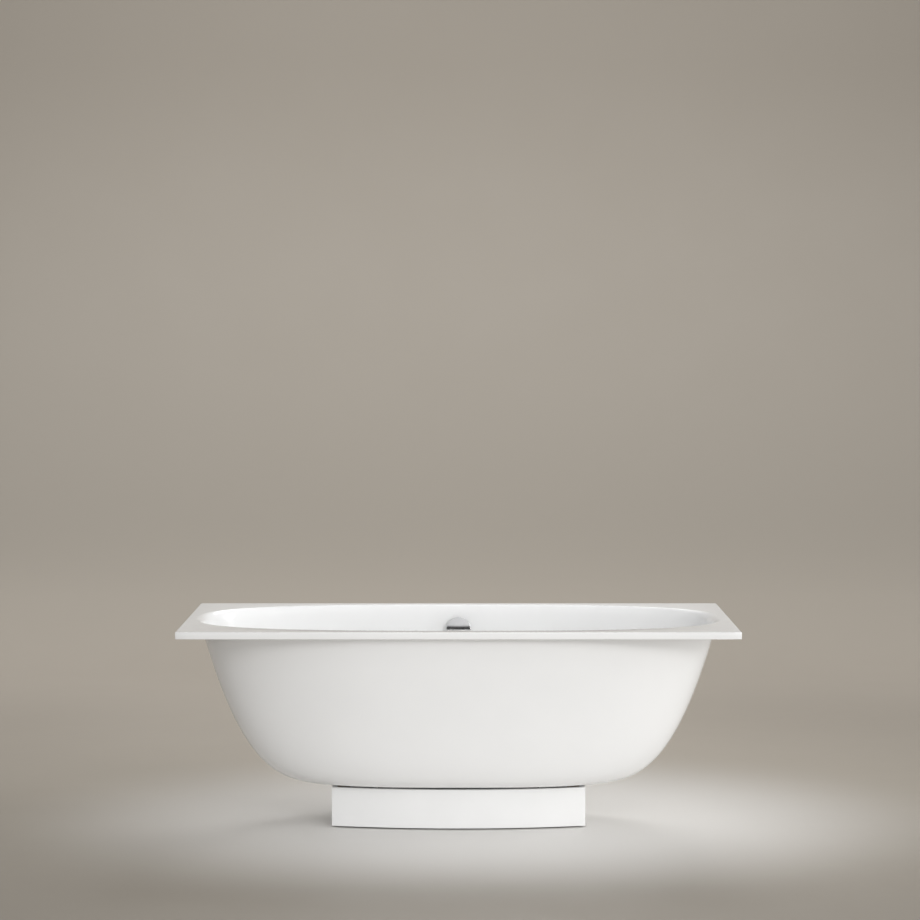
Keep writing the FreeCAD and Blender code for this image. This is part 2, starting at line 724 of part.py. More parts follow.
def drain_cup():
    """The drain's cup under the bath, with an arm to the overflow and a socket for the trap."""
    trap_socket = socket_radius(WASTE_PIPE_RADIUS)
    arm_axis = Vector(0, 0, ARM_AXIS_HEIGHT)
    trap_axis = Vector(0, 0, TRAP_AXIS_HEIGHT)
    arm_mouth = arm_axis + BACK * ARM_MOUTH_REACH
    trap_mouth = trap_axis + SIDE * TRAP_MOUTH_REACH
    pivot = arm_axis + BACK * PIVOT_REACH
    body = joined([
        cylinder(CUP_RADIUS, CUP_BOTTOM, cup_top),
        cylinder(CUP_FLANGE_RADIUS, cup_neck, cup_top),
        bar(arm_axis, arm_mouth, pipe_socket),
        bar(trap_axis, trap_mouth, trap_socket),
        bar(pivot - SIDE * PIVOT_BOSS_REACH, pivot + SIDE * PIVOT_BOSS_REACH, PIVOT_BOSS_RADIUS),
    ])
    cuts = [
        cylinder(cup_bore, CUP_BOTTOM + CUP_WALL, cup_neck),
        cylinder(DRAIN_HOLE_RADIUS, cup_neck, cup_top),
        bar(arm_axis, arm_mouth, pipe_bore),
        bar(arm_mouth - BACK * SOCKET_DEPTH, arm_mouth, OVERFLOW_PIPE_RADIUS + FIT),
        bar(trap_axis, trap_mouth, WASTE_PIPE_RADIUS - PIPE_WALL),
        bar(trap_mouth - SIDE * SOCKET_DEPTH, trap_mouth, WASTE_PIPE_RADIUS + FIT),
        bar(pivot - SIDE * PIVOT_BOSS_REACH, pivot + SIDE * PIVOT_BOSS_REACH, PIVOT_RADIUS + THREAD),
    ]
    for tool in cuts:
        body = body.cut(tool)
    lug_low = lug_top - LUG_HEIGHT
    lug_reach = (LUG_INNER_RADIUS, cup_bore + CUP_WALL / 2)
    lug = block(lug_reach, (-LUG_WIDTH / 2, LUG_WIDTH / 2), (lug_low, lug_top))
    hole = cylinder(PLATE_SCREW_RADIUS + THREAD, lug_low, lug_top, DRAIN_SCREW_RING)
    lugs = around(lug.cut(hole), SPIDER_COUNT, SPIDER_ANGLE)
    return at_drain(joined([body] + lugs))


# Plug


stem_low = ARM_AXIS_HEIGHT - PLUG_LIFT / 2 + ROCKER_RADIUS + FIT
cap_low = floor_z + PLUG_STAND


def plug_cap():
    """The domed cap that lies over the drain, with a boss for the stem."""
    edge = Vector(PLUG_RADIUS, 0, cap_low + PLUG_EDGE)
    crown = Vector(0, 0, cap_low + PLUG_EDGE + PLUG_DOME)
    dome_radius = (PLUG_RADIUS**2 + PLUG_DOME**2) / 2 / PLUG_DOME
    half = PLUG_RADIUS / 2
    rise_at_half = math.sqrt(dome_radius**2 - half**2) - dome_radius + PLUG_DOME
    over = Vector(half, 0, cap_low + PLUG_EDGE + rise_at_half)
    corner = Vector(PLUG_RADIUS, 0, cap_low)
    middle = Vector(0, 0, cap_low)
    edges = [
        Part.Arc(edge, over, crown).toShape(),
        Part.LineSegment(crown, middle).toShape(),
        Part.LineSegment(middle, corner).toShape(),
        Part.LineSegment(corner, edge).toShape(),
    ]
    dome = Part.Face(Part.Wire(edges)).revolve(ORIGIN, UP, 360)
    return at_drain(dome.cut(cylinder(STEM_RADIUS + THREAD, cap_low, cap_low + STEM_HEAD)))


def plug_seal():
    """The seal under the cap, which closes on the drain's cone."""
    bottom = floor_z - PLUG_SEAL_DEPTH
    top_radius = SEAT_RADIUS - CONTACT
    return at_drain(turned([
        (PLUG_SEAL_INNER_RADIUS, bottom), (top_radius - PLUG_SEAL_DEPTH, bottom), (top_radius, floor_z),
        (top_radius, cap_low), (PLUG_SEAL_INNER_RADIUS, cap_low),
    ]))


def plug_stem():
    """The stem that slides in the drain's spider, with a collar that holds the seal."""
    end = stem_low + ADJUSTER_HEAD + ADJUSTER_NUT
    body = joined([
        cylinder(STEM_RADIUS, end, cap_low + STEM_HEAD),
        cylinder(PLUG_SEAL_INNER_RADIUS - THREAD, cap_low - STEM_HEAD, cap_low),
    ])
    return at_drain(body.cut(cylinder(ADJUSTER_RADIUS + THREAD, end, end + ADJUSTER_LENGTH)))


def plug_adjuster():
    """The screw in the stem's end that sets how far the plug rises."""
    head = cylinder(ADJUSTER_HEAD_RADIUS, stem_low, stem_low + ADJUSTER_HEAD)
    shank = cylinder(ADJUSTER_RADIUS, stem_low, stem_low + ADJUSTER_HEAD + ADJUSTER_NUT + ADJUSTER_LENGTH)
    return at_drain(joined([head, shank]))


def plug_lock_nut():
    low = stem_low + ADJUSTER_HEAD
    nut = prism(ADJUSTER_NUT_ACROSS, 6, low, low + ADJUSTER_NUT)
    return at_drain(nut.cut(cylinder(ADJUSTER_RADIUS + THREAD, low, low + ADJUSTER_NUT)))


# Rocker and its pin


def lift_rocker():
    """The two-armed rocker, with its front end down as it is when the plug is shut."""
    front = Vector(0, -PIVOT_REACH * math.cos(rocker_swing), -PIVOT_REACH * math.sin(rocker_swing))
    rear = Vector(0, rear_reach * math.cos(rocker_swing), rear_reach * math.sin(rocker_swing))
    half = SIDE * (ROCKER_HUB_WIDTH / 2)
    body = joined([
        bar(-half, half, ROCKER_HUB_RADIUS),
        bar(front, ORIGIN, ROCKER_RADIUS),
        bar(ORIGIN, rear, ROCKER_RADIUS),
        bar(front - half, front + half, ROCKER_RADIUS),
        Part.makeSphere(ROCKER_BALL_RADIUS, rear),
    ])
    return placed(body.cut(bar(half * -2, half * 2, PIVOT_RADIUS + RUNNING)), pivot_point)


def rocker_pin():
    end = SIDE * PIVOT_BOSS_REACH
    body = joined([bar(-end, end, PIVOT_RADIUS), bar(end, end + SIDE * PIVOT_HEAD, PIVOT_HEAD_RADIUS)])
    return placed(body, pivot_point)


# Overflow


def overflow_body():
    """The chamber behind the wall, with a socket for the pipe below it."""
    socket_top = Vector(0, -CHAMBER_RADIUS + SOCKET_DEPTH / 2, pipe_back)
    socket_mouth = Vector(0, -BODY_SOCKET_REACH, pipe_back)
    inner_radius = CHAMBER_RADIUS - CHAMBER_WALL
    body = joined([
        cylinder(BODY_FLANGE_RADIUS, flange_back, gasket_back),
        cylinder(CHAMBER_RADIUS, chamber_back - CHAMBER_WALL, flange_back),
        bar(socket_top, socket_mouth, pipe_socket),
    ])
    body = body.cut(cylinder(OVERFLOW_HOLE_RADIUS, flange_back, gasket_back))
    lug_back = flange_back - BODY_LUG_DEPTH
    lug = cylinder(BODY_LUG_RADIUS, lug_back, flange_back, OVERFLOW_SCREW_RING + BODY_LUG_RADIUS / 2)
    chamber = cylinder(inner_radius, chamber_back, flange_back)
    for one in around(lug, SPIDER_COUNT, SPIDER_ANGLE):
        chamber = chamber.cut(one)
    hole = cylinder(PLATE_SCREW_RADIUS + THREAD, lug_back, flange_back, OVERFLOW_SCREW_RING)
    bore = bar(socket_top - BACK * CHAMBER_WALL, socket_mouth, pipe_bore)
    socket = bar(socket_mouth + BACK * SOCKET_DEPTH, socket_mouth, OVERFLOW_PIPE_RADIUS + FIT)
    for tool in [chamber, bore, socket] + around(hole, SPIDER_COUNT, SPIDER_ANGLE):
        body = body.cut(tool)
    return on_overflow(body)


def overflow_plate():
    """The plate inside the bath that carries the knob's spindle."""
    arm = block((0, PLATE_OPENING_RADIUS + FIT), (-PLATE_ARM / 2, PLATE_ARM / 2), (plate_low, plate_high))
    plate = joined([
        ring(PLATE_RADIUS, PLATE_OPENING_RADIUS, plate_low, plate_high),
        cylinder(PLATE_BOSS_RADIUS, -PLATE_BOSS_DEPTH, plate_high),
    ] + around(arm, SPIDER_COUNT, SPIDER_ANGLE))
    plate = plate.cut(cylinder(SPINDLE_RADIUS + RUNNING, -PLATE_BOSS_DEPTH, plate_high))
    hole = cylinder(PLATE_SCREW_RADIUS + FIT, plate_low, plate_high, OVERFLOW_SCREW_RING)
    for one in around(hole, SPIDER_COUNT, SPIDER_ANGLE):
        plate = plate.cut(one)
    return on_overflow(plate)


def overflow_screws():
    length = plate_high - flange_back + BODY_LUG_DEPTH
    one = screw(PLATE_SCREW_RADIUS, length, PLATE_SCREW_HEAD_RADIUS, PLATE_SCREW_HEAD)
    one = placed(one, Vector(OVERFLOW_SCREW_RING, 0, plate_high))
    return on_overflow(Part.makeCompound(around(one, SPIDER_COUNT, SPIDER_ANGLE)))


def overflow_pipe():
    """The straight pipe behind the bath, from the overflow's chamber to the elbow."""
    top = overflow_place(0, -BODY_SOCKET_REACH + SOCKET_DEPTH, pipe_back)
    bottom = elbow_point + overflow_up * (ELBOW_LEG - SOCKET_DEPTH)
    return bar(bottom, top, OVERFLOW_PIPE_RADIUS).cut(bar(bottom, top, pipe_bore))


def pipe_lip_seal():
    """The seal at the mouth of the overflow body's socket."""
    seal = ring(pipe_socket, OVERFLOW_PIPE_RADIUS + THREAD, 0, LIP_SEAL_HEIGHT)
    return placed(seal, overflow_place(0, -BODY_SOCKET_REACH, pipe_back), -overflow_up)


def overflow_elbow():
    """The elbow at the pipe's foot, whose spigot goes into the drain's arm."""
    mouth = elbow_point + overflow_up * ELBOW_LEG
    shoulder = elbow_point - BACK * ELBOW_SPIGOT_START
    end = Vector(0, DRAIN_PLACE + ARM_MOUTH_REACH - SOCKET_DEPTH, ARM_AXIS_HEIGHT)
    body = joined([
        Part.makeSphere(pipe_socket, elbow_point),
        bar(elbow_point, mouth, pipe_socket),
        bar(elbow_point, shoulder, pipe_socket),
        bar(elbow_point, end, OVERFLOW_PIPE_RADIUS),
    ])
    cuts = [
        Part.makeSphere(pipe_bore, elbow_point),
        bar(elbow_point, mouth, pipe_bore),
        bar(elbow_point, end, pipe_bore),
        bar(mouth - overflow_up * SOCKET_DEPTH, mouth, OVERFLOW_PIPE_RADIUS + FIT),
    ]
    for tool in cuts:
        body = body.cut(tool)
    return body


# Knob and its drive


def overflow_knob():
    """The round knob, hollow behind, with a hub for the spindle and a hole for its grub screw."""
    top = KNOB_GAP + KNOB_SIDE
    half = KNOB_RADIUS / 2
    dome_radius = (KNOB_RADIUS**2 + KNOB_DOME**2) / 2 / KNOB_DOME
    rise_at_half = math.sqrt(dome_radius**2 - half**2) - dome_radius + KNOB_DOME
    edge = Vector(KNOB_RADIUS, 0, top)
    crown = Vector(0, 0, top + KNOB_DOME)
    outline = [
        Part.Arc(edge, Vector(half, 0, top + rise_at_half), crown).toShape(),
        Part.LineSegment(crown, Vector(0, 0, KNOB_GAP)).toShape(),
        Part.LineSegment(Vector(0, 0, KNOB_GAP), Vector(KNOB_RADIUS, 0, KNOB_GAP)).toShape(),
        Part.LineSegment(Vector(KNOB_RADIUS, 0, KNOB_GAP), edge).toShape(),
    ]
    body = Part.Face(Part.Wire(outline)).revolve(ORIGIN, UP, 360)
    rim = [one for one in body.Edges if one.isClosed() and abs(one.CenterOfMass.z - top) < FIT]
    body = body.makeFillet(KNOB_EDGE, rim)
    body = body.cut(ring(KNOB_RADIUS - KNOB_SKIN, KNOB_HUB_RADIUS, KNOB_GAP, top - KNOB_SKIN))
    body = body.cut(cylinder(SPINDLE_RADIUS + THREAD, KNOB_GAP, KNOB_GAP + SPINDLE_GRIP))
    grub_axis = Vector(0, 0, KNOB_GAP + SPINDLE_GRIP / 2)
    grub_end = grub_axis - BACK * (KNOB_RADIUS + OVERRUN)
    return on_overflow(body.cut(bar(grub_axis, grub_end, GRUB_RADIUS + THREAD)))


def knob_grub_screw():
    start = Vector(0, -SPINDLE_RADIUS, KNOB_GAP + SPINDLE_GRIP / 2)
    body = bar(start, start - BACK * GRUB_LENGTH, GRUB_RADIUS)
    socket = prism(2 * GRUB_RADIUS * SCREW_SOCKET_SHARE, 6, 0, GRUB_LENGTH * SOCKET_SHARE)
    return on_overflow(body.cut(placed(socket, start - BACK * GRUB_LENGTH, BACK)))


def knob_spindle():
    """The spindle from the crank to the knob."""
    return on_overflow(cylinder(SPINDLE_RADIUS, disc_front, KNOB_GAP + SPINDLE_GRIP))


def crank_disc():
    """The disc on the spindle's inner end, with the pin that drives the pull rod."""
    disc = cylinder(crank_radius + CRANK_RIM, disc_back, disc_front)
    pin = cylinder(CRANK_PIN_RADIUS, yoke_back - FIT, disc_back, crank_pin_x, crank_pin_y)
    return on_overflow(joined([disc, pin]))


def pull_rod():
    """The rod inside the pipe, with a slotted yoke above and a foot that presses the rocker."""
    reach = crank_radius + CRANK_PIN_RADIUS + YOKE_PLAY
    slot = CRANK_PIN_RADIUS + YOKE_PLAY
    y = (crank_pin_y - YOKE_HEIGHT / 2, crank_pin_y + YOKE_HEIGHT / 2)
    plate = block((-reach - YOKE_END, ROD_RADIUS + YOKE_END), y, (yoke_back, yoke_front))
    slot_y = (crank_pin_y - slot, crank_pin_y + slot)
    opening = block((-reach, crank_pin_x + slot), slot_y, (yoke_back, yoke_front))
    ball = pivot_point + Vector(0, math.cos(rocker_swing), math.sin(rocker_swing)) * rear_reach
    foot_drop = (ball - overflow_place(0, 0, pipe_back)).dot(overflow_up)
    foot_low = foot_drop + ROCKER_BALL_RADIUS + 2 * FIT
    foot = Vector(0, foot_low, pipe_back)
    rod = joined([
        plate,
        bar(foot, Vector(0, crank_pin_y, pipe_back), ROD_RADIUS),
        bar(foot, foot + BACK * ROD_FOOT, ROD_FOOT_RADIUS),
    ])
    return on_overflow(rod.cut(opening))


# Trap and outlet


def trap_bend():
    """The bent pipe that holds the water seal, from the drain's socket to the outlet's."""
    start_x = TRAP_MOUTH_REACH - SOCKET_DEPTH
    drop_x = start_x + TRAP_RUN
    rise_x = drop_x + TRAP_WIDTH
    low = TRAP_AXIS_HEIGHT - TRAP_DROP
    points = [
        Vector(start_x, DRAIN_PLACE, TRAP_AXIS_HEIGHT),
        Vector(drop_x, DRAIN_PLACE, TRAP_AXIS_HEIGHT),
        Vector(drop_x, DRAIN_PLACE, low),
        Vector(rise_x, DRAIN_PLACE, low),
        Vector(rise_x, DRAIN_PLACE, OUTLET_AXIS_HEIGHT),
        Vector(rise_x, OUTLET_MOUTH_PLACE + SOCKET_DEPTH, OUTLET_AXIS_HEIGHT),
    ]
    outside = bent_bar(points, TRAP_BEND, WASTE_PIPE_RADIUS)
    return outside.cut(bent_bar(points, TRAP_BEND, WASTE_PIPE_RADIUS - PIPE_WALL))


outlet_x = TRAP_MOUTH_REACH - SOCKET_DEPTH + TRAP_RUN + TRAP_WIDTH


def outlet_pipe():
    """The outlet with a socket for the trap, whose plain end goes to the building's drain."""
    mouth = Vector(outlet_x, OUTLET_MOUTH_PLACE, OUTLET_AXIS_HEIGHT)
    shoulder = mouth + BACK * (SOCKET_DEPTH + SOCKET_WALL)
    end = Vector(outlet_x, OUTLET_END_PLACE, OUTLET_AXIS_HEIGHT)
    body = joined([
        bar(mouth, shoulder, socket_radius(WASTE_PIPE_RADIUS)),
        bar(mouth, end, WASTE_PIPE_RADIUS),
    ])
    body = body.cut(bar(mouth, mouth + BACK * SOCKET_DEPTH, WASTE_PIPE_RADIUS + FIT))
    return body.cut(bar(mouth, end, WASTE_PIPE_RADIUS - PIPE_WALL))


def pipe_joints():
    """The slip nut and sealing ring of each socket, by the socket's name."""
    arm_mouth = Vector(0, DRAIN_PLACE + ARM_MOUTH_REACH, ARM_AXIS_HEIGHT)
    trap_mouth = Vector(TRAP_MOUTH_REACH, DRAIN_PLACE, TRAP_AXIS_HEIGHT)
    outlet_mouth = Vector(outlet_x, OUTLET_MOUTH_PLACE, OUTLET_AXIS_HEIGHT)
    places = {
        "overflow_arm": (arm_mouth, BACK, OVERFLOW_PIPE_RADIUS),
        "overflow_pipe": (elbow_point + overflow_up * ELBOW_LEG, overflow_up, OVERFLOW_PIPE_RADIUS),
        "trap_inlet": (trap_mouth, SIDE, WASTE_PIPE_RADIUS),
        "trap_outlet": (outlet_mouth, -BACK, WASTE_PIPE_RADIUS),
    }
    nodes = {}
    for name, (mouth, direction, radius) in places.items():
        nodes[name + "_nut"] = placed(slip_nut(radius), mouth, direction)
        nodes[name + "_washer"] = placed(slip_washer(radius), mouth, direction)
    return nodes


def plinth_nodes():
    """The plinth's panels, posts, brackets and screws, with their screw holes."""
    front, rear = bowed_panels()
    service_height = (SERVICE_SILL, plinth_top + OVERRUN)
    service = block((-SERVICE_LEFT, SERVICE_RIGHT), (0, PLINTH_DEPTH), service_height)
    right = end_panel()
    posts = mirrored_four(corner_post())
    brackets = mirrored_four(bracket())
    corner_screws = []
    hanging_screw, hole = bracket_screw()
    holes = mirrored_four(hole)
    for one, hole in post_screws():
        corner_screws += mirrored_four(one)
        holes += mirrored_four(hole)
    holes = Part.makeCompound(holes)
    return {
        "plinth_front_panel": front.cut(holes),
        "plinth_rear_panel": rear.cut(service).cut(holes),
        "plinth_right_panel": right.cut(holes),
        "plinth_left_panel": right.mirror(ORIGIN, SIDE).cut(holes),
        "plinth_corner_posts": Part.makeCompound([one.cut(holes) for one in posts]),
        "plinth_brackets": Part.makeCompound([one.cut(holes) for one in brackets]),
        "plinth_post_screws": Part.makeCompound(corner_screws),
        "plinth_bracket_screws": Part.makeCompound(mirrored_four(hanging_screw)),
    }


def support_nodes():
    """The two bearers with their pads, nuts and four levelling feet."""
    right = bearer()
    inner_floor = bearer_low + BEARER_WALL
    nodes = {
        "right_bearer": right,
        "left_bearer": right.mirror(ORIGIN, SIDE),
        "bearer_pads": Part.makeCompound(mirrored_four(bearer_pad())),
        "foot_thread_nuts": Part.makeCompound(mirrored_four(stud_nut(inner_floor))),
        "foot_lock_nuts": Part.makeCompound(mirrored_four(stud_nut(bearer_low - LOCK_NUT_HEIGHT))),
    }
    corners = ("back_right", "front_right", "back_left", "front_left")
    for name, stud, pad in zip(corners, mirrored_four(foot_stud()), mirrored_four(foot_pad())):
        nodes[name + "_foot_stud"] = stud
        nodes[name + "_foot_pad"] = pad
    return nodes


def drain_nodes():
    """The drain with its plug and rocker."""
    gasket = ring(FLANGE_RADIUS, DRAIN_HOLE_RADIUS, recess_z, recess_z + FLANGE_GASKET)
    seal = ring(DRAIN_SEAL_RADIUS, DRAIN_HOLE_RADIUS, cup_top, base_z)
    return {
        "drain_flange": drain_flange(),
        "drain_spider": drain_spider(),
        "drain_flange_gasket": at_drain(gasket),
        "drain_screws": drain_screws(),
        "drain_seal": at_drain(seal),
        "drain_cup": drain_cup(),
        "plug_cap": plug_cap(),
        "plug_seal": plug_seal(),
        "plug_stem": plug_stem(),
        "plug_adjuster": plug_adjuster(),
        "plug_lock_nut": plug_lock_nut(),
        "lift_rocker": lift_rocker(),
        "rocker_pin": rocker_pin(),
        "trap_bend": trap_bend(),
        "outlet_pipe": outlet_pipe(),
    }


def overflow_nodes():
    """The overflow with its knob, pull rod and pipe."""
    inner = ring(PLATE_RADIUS, OVERFLOW_HOLE_RADIUS, -SEAT_CUT, plate_low)
    outer = ring(BODY_FLANGE_RADIUS, OVERFLOW_HOLE_RADIUS, gasket_back, outer_seat)
    return {
        "overflow_body": overflow_body(),
        "overflow_outer_gasket": on_overflow(outer),
        "overflow_inner_gasket": on_overflow(inner),
        "overflow_plate": overflow_plate(),
        "overflow_screws": overflow_screws(),
        "overflow_pipe": overflow_pipe(),
        "pipe_lip_seal": pipe_lip_seal(),
        "overflow_elbow": overflow_elbow(),
        "overflow_knob": overflow_knob(),
        "knob_grub_screw": knob_grub_screw(),
        "knob_spindle": knob_spindle(),
        "crank_disc": crank_disc(),
        "pull_rod": pull_rod(),
    }


def main():
    os.makedirs("parts", exist_ok=True)
    nodes = {"bath_shell": bath_shell()}
    for group in (plinth_nodes(), support_nodes(), drain_nodes(), overflow_nodes(), pipe_joints()):
        nodes.update(group)
    for name, shape in nodes.items():
        shape.exportStep("parts/" + name + ".step")


main()
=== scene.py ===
import json
import math
import bmesh
import bpy
from mathutils import Matrix, Vector


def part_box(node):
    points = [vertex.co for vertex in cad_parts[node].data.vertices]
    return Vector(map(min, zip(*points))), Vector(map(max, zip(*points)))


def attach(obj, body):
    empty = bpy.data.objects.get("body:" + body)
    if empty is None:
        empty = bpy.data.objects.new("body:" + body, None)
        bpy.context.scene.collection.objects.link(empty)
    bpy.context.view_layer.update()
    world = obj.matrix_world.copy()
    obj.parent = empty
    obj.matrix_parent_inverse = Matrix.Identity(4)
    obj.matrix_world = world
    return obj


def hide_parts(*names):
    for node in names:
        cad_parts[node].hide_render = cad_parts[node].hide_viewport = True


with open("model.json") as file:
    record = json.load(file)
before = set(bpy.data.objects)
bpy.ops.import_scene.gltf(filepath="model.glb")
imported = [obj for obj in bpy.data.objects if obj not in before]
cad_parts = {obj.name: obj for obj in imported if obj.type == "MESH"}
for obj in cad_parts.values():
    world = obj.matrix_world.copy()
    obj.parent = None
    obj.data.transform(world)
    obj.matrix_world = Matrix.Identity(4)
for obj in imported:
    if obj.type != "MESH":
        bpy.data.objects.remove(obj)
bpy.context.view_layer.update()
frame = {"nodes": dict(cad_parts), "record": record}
scene = bpy.context.scene

# Lengths are in metres and angles in degrees. Halves are half a length and half a width.

# Shell: TOP, RIM_LOW, BASE and FLOOR are heights, and a wall's share runs from 0 at its base to 1
# under the rim
RIM_HALVES = (0.850, 0.375)
RIM_EDGE = 0.021
RIM_BAND = 0.005
RIM_CORNER = 0.003
RIM_CORNER_STEPS = 5
RIM_EASE = 0.0012
RIM_SHARP = 60
TOP = 0.640
RIM_LOW = TOP - RIM_EDGE
BASE = 0.132
FLOOR = 0.147
WALL = 0.012
BASE_HALVES = (0.430, 0.165)
OUTER_HALVES = (0.806, 0.340)
INNER_HALVES = (0.794, 0.328)
MOUTH_HALVES = (0.824, 0.3345)
OUTER_RISE = RIM_LOW - BASE
INNER_RISE = OUTER_RISE - WALL
LIP_DEPTH = 0.030
OVAL_POWER = 2.8
SWELL_POWER = 2.86
FLOOR_BLEND = 0.00045
BLEND_HEIGHT = 20 * FLOOR_BLEND
FLOOR_SHARE = 0.05
OVAL_SEGMENTS = 256
WALL_RINGS = 72
LIP_RINGS = 16

# Drain and plug: a seat is a radius and a height
DRAIN_PLACE = Matrix.Translation((0, 0.124, 0))
DRAIN_HOLE = 0.026
DRAIN_SEAT = (0.0363, 0.143)
DRAIN_SPARE = 0.01
PLUG_RADIUS = 0.038
PLUG_LOW = 0.148
PLUG_EDGE = 0.0022
PLUG_EASE = 0.0008
PLUG_SHOULDER = 68
PLUG_SHOULDER_STEPS = 5
PLUG_DOME = 0.0065
PLUG_DOME_STEPS = 24
STEM_RADIUS = 0.004
STEM_HEAD = 0.003

# Overflow and knob: heights are measured from the wall's inner face along the knob's axis
OVERFLOW_LEAN = 7.4517
OVERFLOW_TURN = Matrix.Rotation(math.pi / 2 - math.radians(OVERFLOW_LEAN), 4, "X")
OVERFLOW_PLACE = Matrix.Translation((0, 0.3206, 0.560)) @ OVERFLOW_TURN
OVERFLOW_HOLE = 0.027
OVERFLOW_SPARE = (0.006, -0.018)
PLATE_SEAT = (0.0343, -0.0008)
BODY_SEAT = (0.0423, -0.0112)
KNOB_RADIUS = 0.040
KNOB_LOW = 0.005
KNOB_SIDE = 0.020
KNOB_LIP = 0.0007
KNOB_EDGE = 0.002
KNOB_SHOULDER = 80
KNOB_SHOULDER_STEPS = 8
KNOB_DOME = 0.003
KNOB_DOME_STEPS = 20
KNOB_SKIN = 0.003
KNOB_HUB = 0.011
SPINDLE_RADIUS = 0.005
SPINDLE_GRIP = 0.012
GRUB_RADIUS = 0.0025
GRUB_STEPS = 32

# Plinth: front and back are bowed to one radius
PLINTH_HALF = 0.394
PLINTH_REACH = 0.180
PLINTH_BOW = 0.042
PLINTH_LOW = 0.005
PLINTH_HIGH = 0.126
BOW_RADIUS = (PLINTH_HALF**2 + PLINTH_BOW**2) / 2 / PLINTH_BOW
BOW_CENTRE = PLINTH_REACH - BOW_RADIUS
BOW_SPARE = 0.01
BOW_STEPS = 48
PANEL = 0.016
PANEL_EASE = 0.0009
PANEL_SHARP = 50
SERVICE_SIDES = (-0.040, 0.196)
SERVICE_SILL = 0.044
SERVICE_SPARE = 0.002
SERVICE_HEIGHT = PLINTH_HIGH + SERVICE_SPARE - SERVICE_SILL
SERVICE_DEPTH = 0.2
# The dark strip behind the front board is painted shade that keeps the shadow gap under the shell
# dark: its half length, thickness, height and eased edges
STRIP_HALF = 0.250
STRIP_THICKNESS = 0.008
STRIP_HEIGHT = 0.020
STRIP_EASE = 0.0012

# Feet: the flats lie between two heights, and the thread's outline has radii and shares of a pitch
FOOT_PLACE = (0.290, 0.104)
STUD_BALL = 0.008
STUD_BALL_HEIGHT = 0.011
STUD_BALL_STEPS = 18
STUD_NECK = 0.006
STUD_FLATS = (0.0153, 0.0253)
STUD_MIDDLE = sum(STUD_FLATS) / 2
STUD_ACROSS = 0.017
STUD_CHAMFER = 0.0007
STUD_TOP = 0.121
STUD_STEPS = 48
HEXAGON = 6
THREAD_PITCH = 0.00175
THREAD_STEPS = 24
THREAD_SPARE_TURNS = 2
THREAD_WELD = 0.00001
THREAD_OUTLINE = ((0.0050, 0.0), (0.0050, 0.2), (0.0059, 0.5), (0.0059, 0.7), (0.0050, 1.0))

# Shared by several pieces: points nearer than a sliver are one, and a crisp line shows where a
# surface turns by more than its angle
SLIVER = 0.000002
CUTTER_STEPS = 96
ROUND_STEPS = 128
EDGE_STEPS = 4
EASE_STEPS = 3
CAST_CRISP = 38
TURNED_CRISP = 35
STUD_CRISP = 28

# Finishes: how much finer a metal's uneven gloss is than its tones
METAL_GLOSS_SCALE = 1.7

# Studio paper: its run along the floor, its curve, and its tones by how far back they lie, which
# are painted light and shade: darker just in front of the bath and lightest where the floor starts
# to bend up. A painted pool of light brightens it around the bath
PAPER_FRONT = -9
PAPER_BEND = 3.2
PAPER_RADIUS = 3.0
PAPER_BEND_STEPS = 24
PAPER_BACK = PAPER_BEND + PAPER_RADIUS
PAPER_TOP = 9
PAPER_HALF = 10
PAPER_CRISP = 30
PAPER_TONES_AND_PAINTED_LIGHT = (
    (-9.0, (0.430, 0.393, 0.342)),
    (-4.5, (0.400, 0.366, 0.318)),
    (-1.7, (0.258, 0.232, 0.196)),
    (-0.75, (0.262, 0.235, 0.198)),
    (0.3, (0.365, 0.330, 0.280)),
    (1.4, (0.440, 0.398, 0.342)),
    (2.9, (0.595, 0.540, 0.470)),
    (4.3, (0.490, 0.445, 0.384)),
    (5.0, (0.390, 0.354, 0.305)),
    (6.2, (0.485, 0.440, 0.380)),
)
# A painted pool of light on the paper around the bath: its shift, its stretch, its fade and its
# pale tone
POOL_SHIFT = (-0.10, -0.02, 0)
POOL_SCALE = (1.0, 1.3, 1.0)
POOL_FADE = (0.25, 1.75)
PAINTED_POOL_TONE = (0.705, 0.692, 0.671)

# Studio lamps: name, place, aim, size, spread and watts, first those that polished surfaces mirror
BATH_MIDDLE = (0, 0, 0.45)
MIRRORED_LAMPS = (
    ("right_high_softbox", (4.0, 0.3, 2.4), BATH_MIDDLE, (1.4, 1.4), 70, 4.2),
    ("right_low_softbox", (4.6, -1.4, 1.0), BATH_MIDDLE, (1.2, 1.2), 60, 4.5),
    ("back_softbox", (0.6, 3.0, 3.4), BATH_MIDDLE, (2.4, 1.2), 60, 6.5),
    ("backdrop_softbox", (0, 2.4, 4.8), (0, 6.2, 2.0), (6.0, 0.8), 120, 32.0),
)
FILL_LAMPS = (
    ("front_softbox", (0.4, -4.4, 2.9), BATH_MIDDLE, (2.6, 0.6), 70, 2.0),
    ("front_right_softbox", (2.6, -4.8, 2.3), BATH_MIDDLE, (1.6, 0.8), 60, 5.8),
    ("right_fill", (2.9, -5.3, 0.8), BATH_MIDDLE, (2.0, 1.4), 60, 6.7),
    ("left_fill", (-2.4, -5.6, 0.9), BATH_MIDDLE, (2.0, 1.6), 60, 6.0),
    ("back_fill", (-0.6, 4.4, 1.5), BATH_MIDDLE, (2.4, 1.2), 60, 4.0),
)
ROOM_LEFT = 0.56
ROOM_RIGHT = 1.0
ROOM_WALLS = 0.05
CEILING_FADE = (0.19, 0.24)
ROOM_TONE = (0.355, 0.325, 0.284, 1)
WHITE = (1, 1, 1, 1)

# Studio camera
CAMERA_PLACE = (0.00465, -7.6693, 1.5908)
CAMERA_DOWN = 3.3943
CAMERA_LENS = 95.80
CAMERA_SENSOR = 36
CAMERA_FAR = 100


# Making pieces


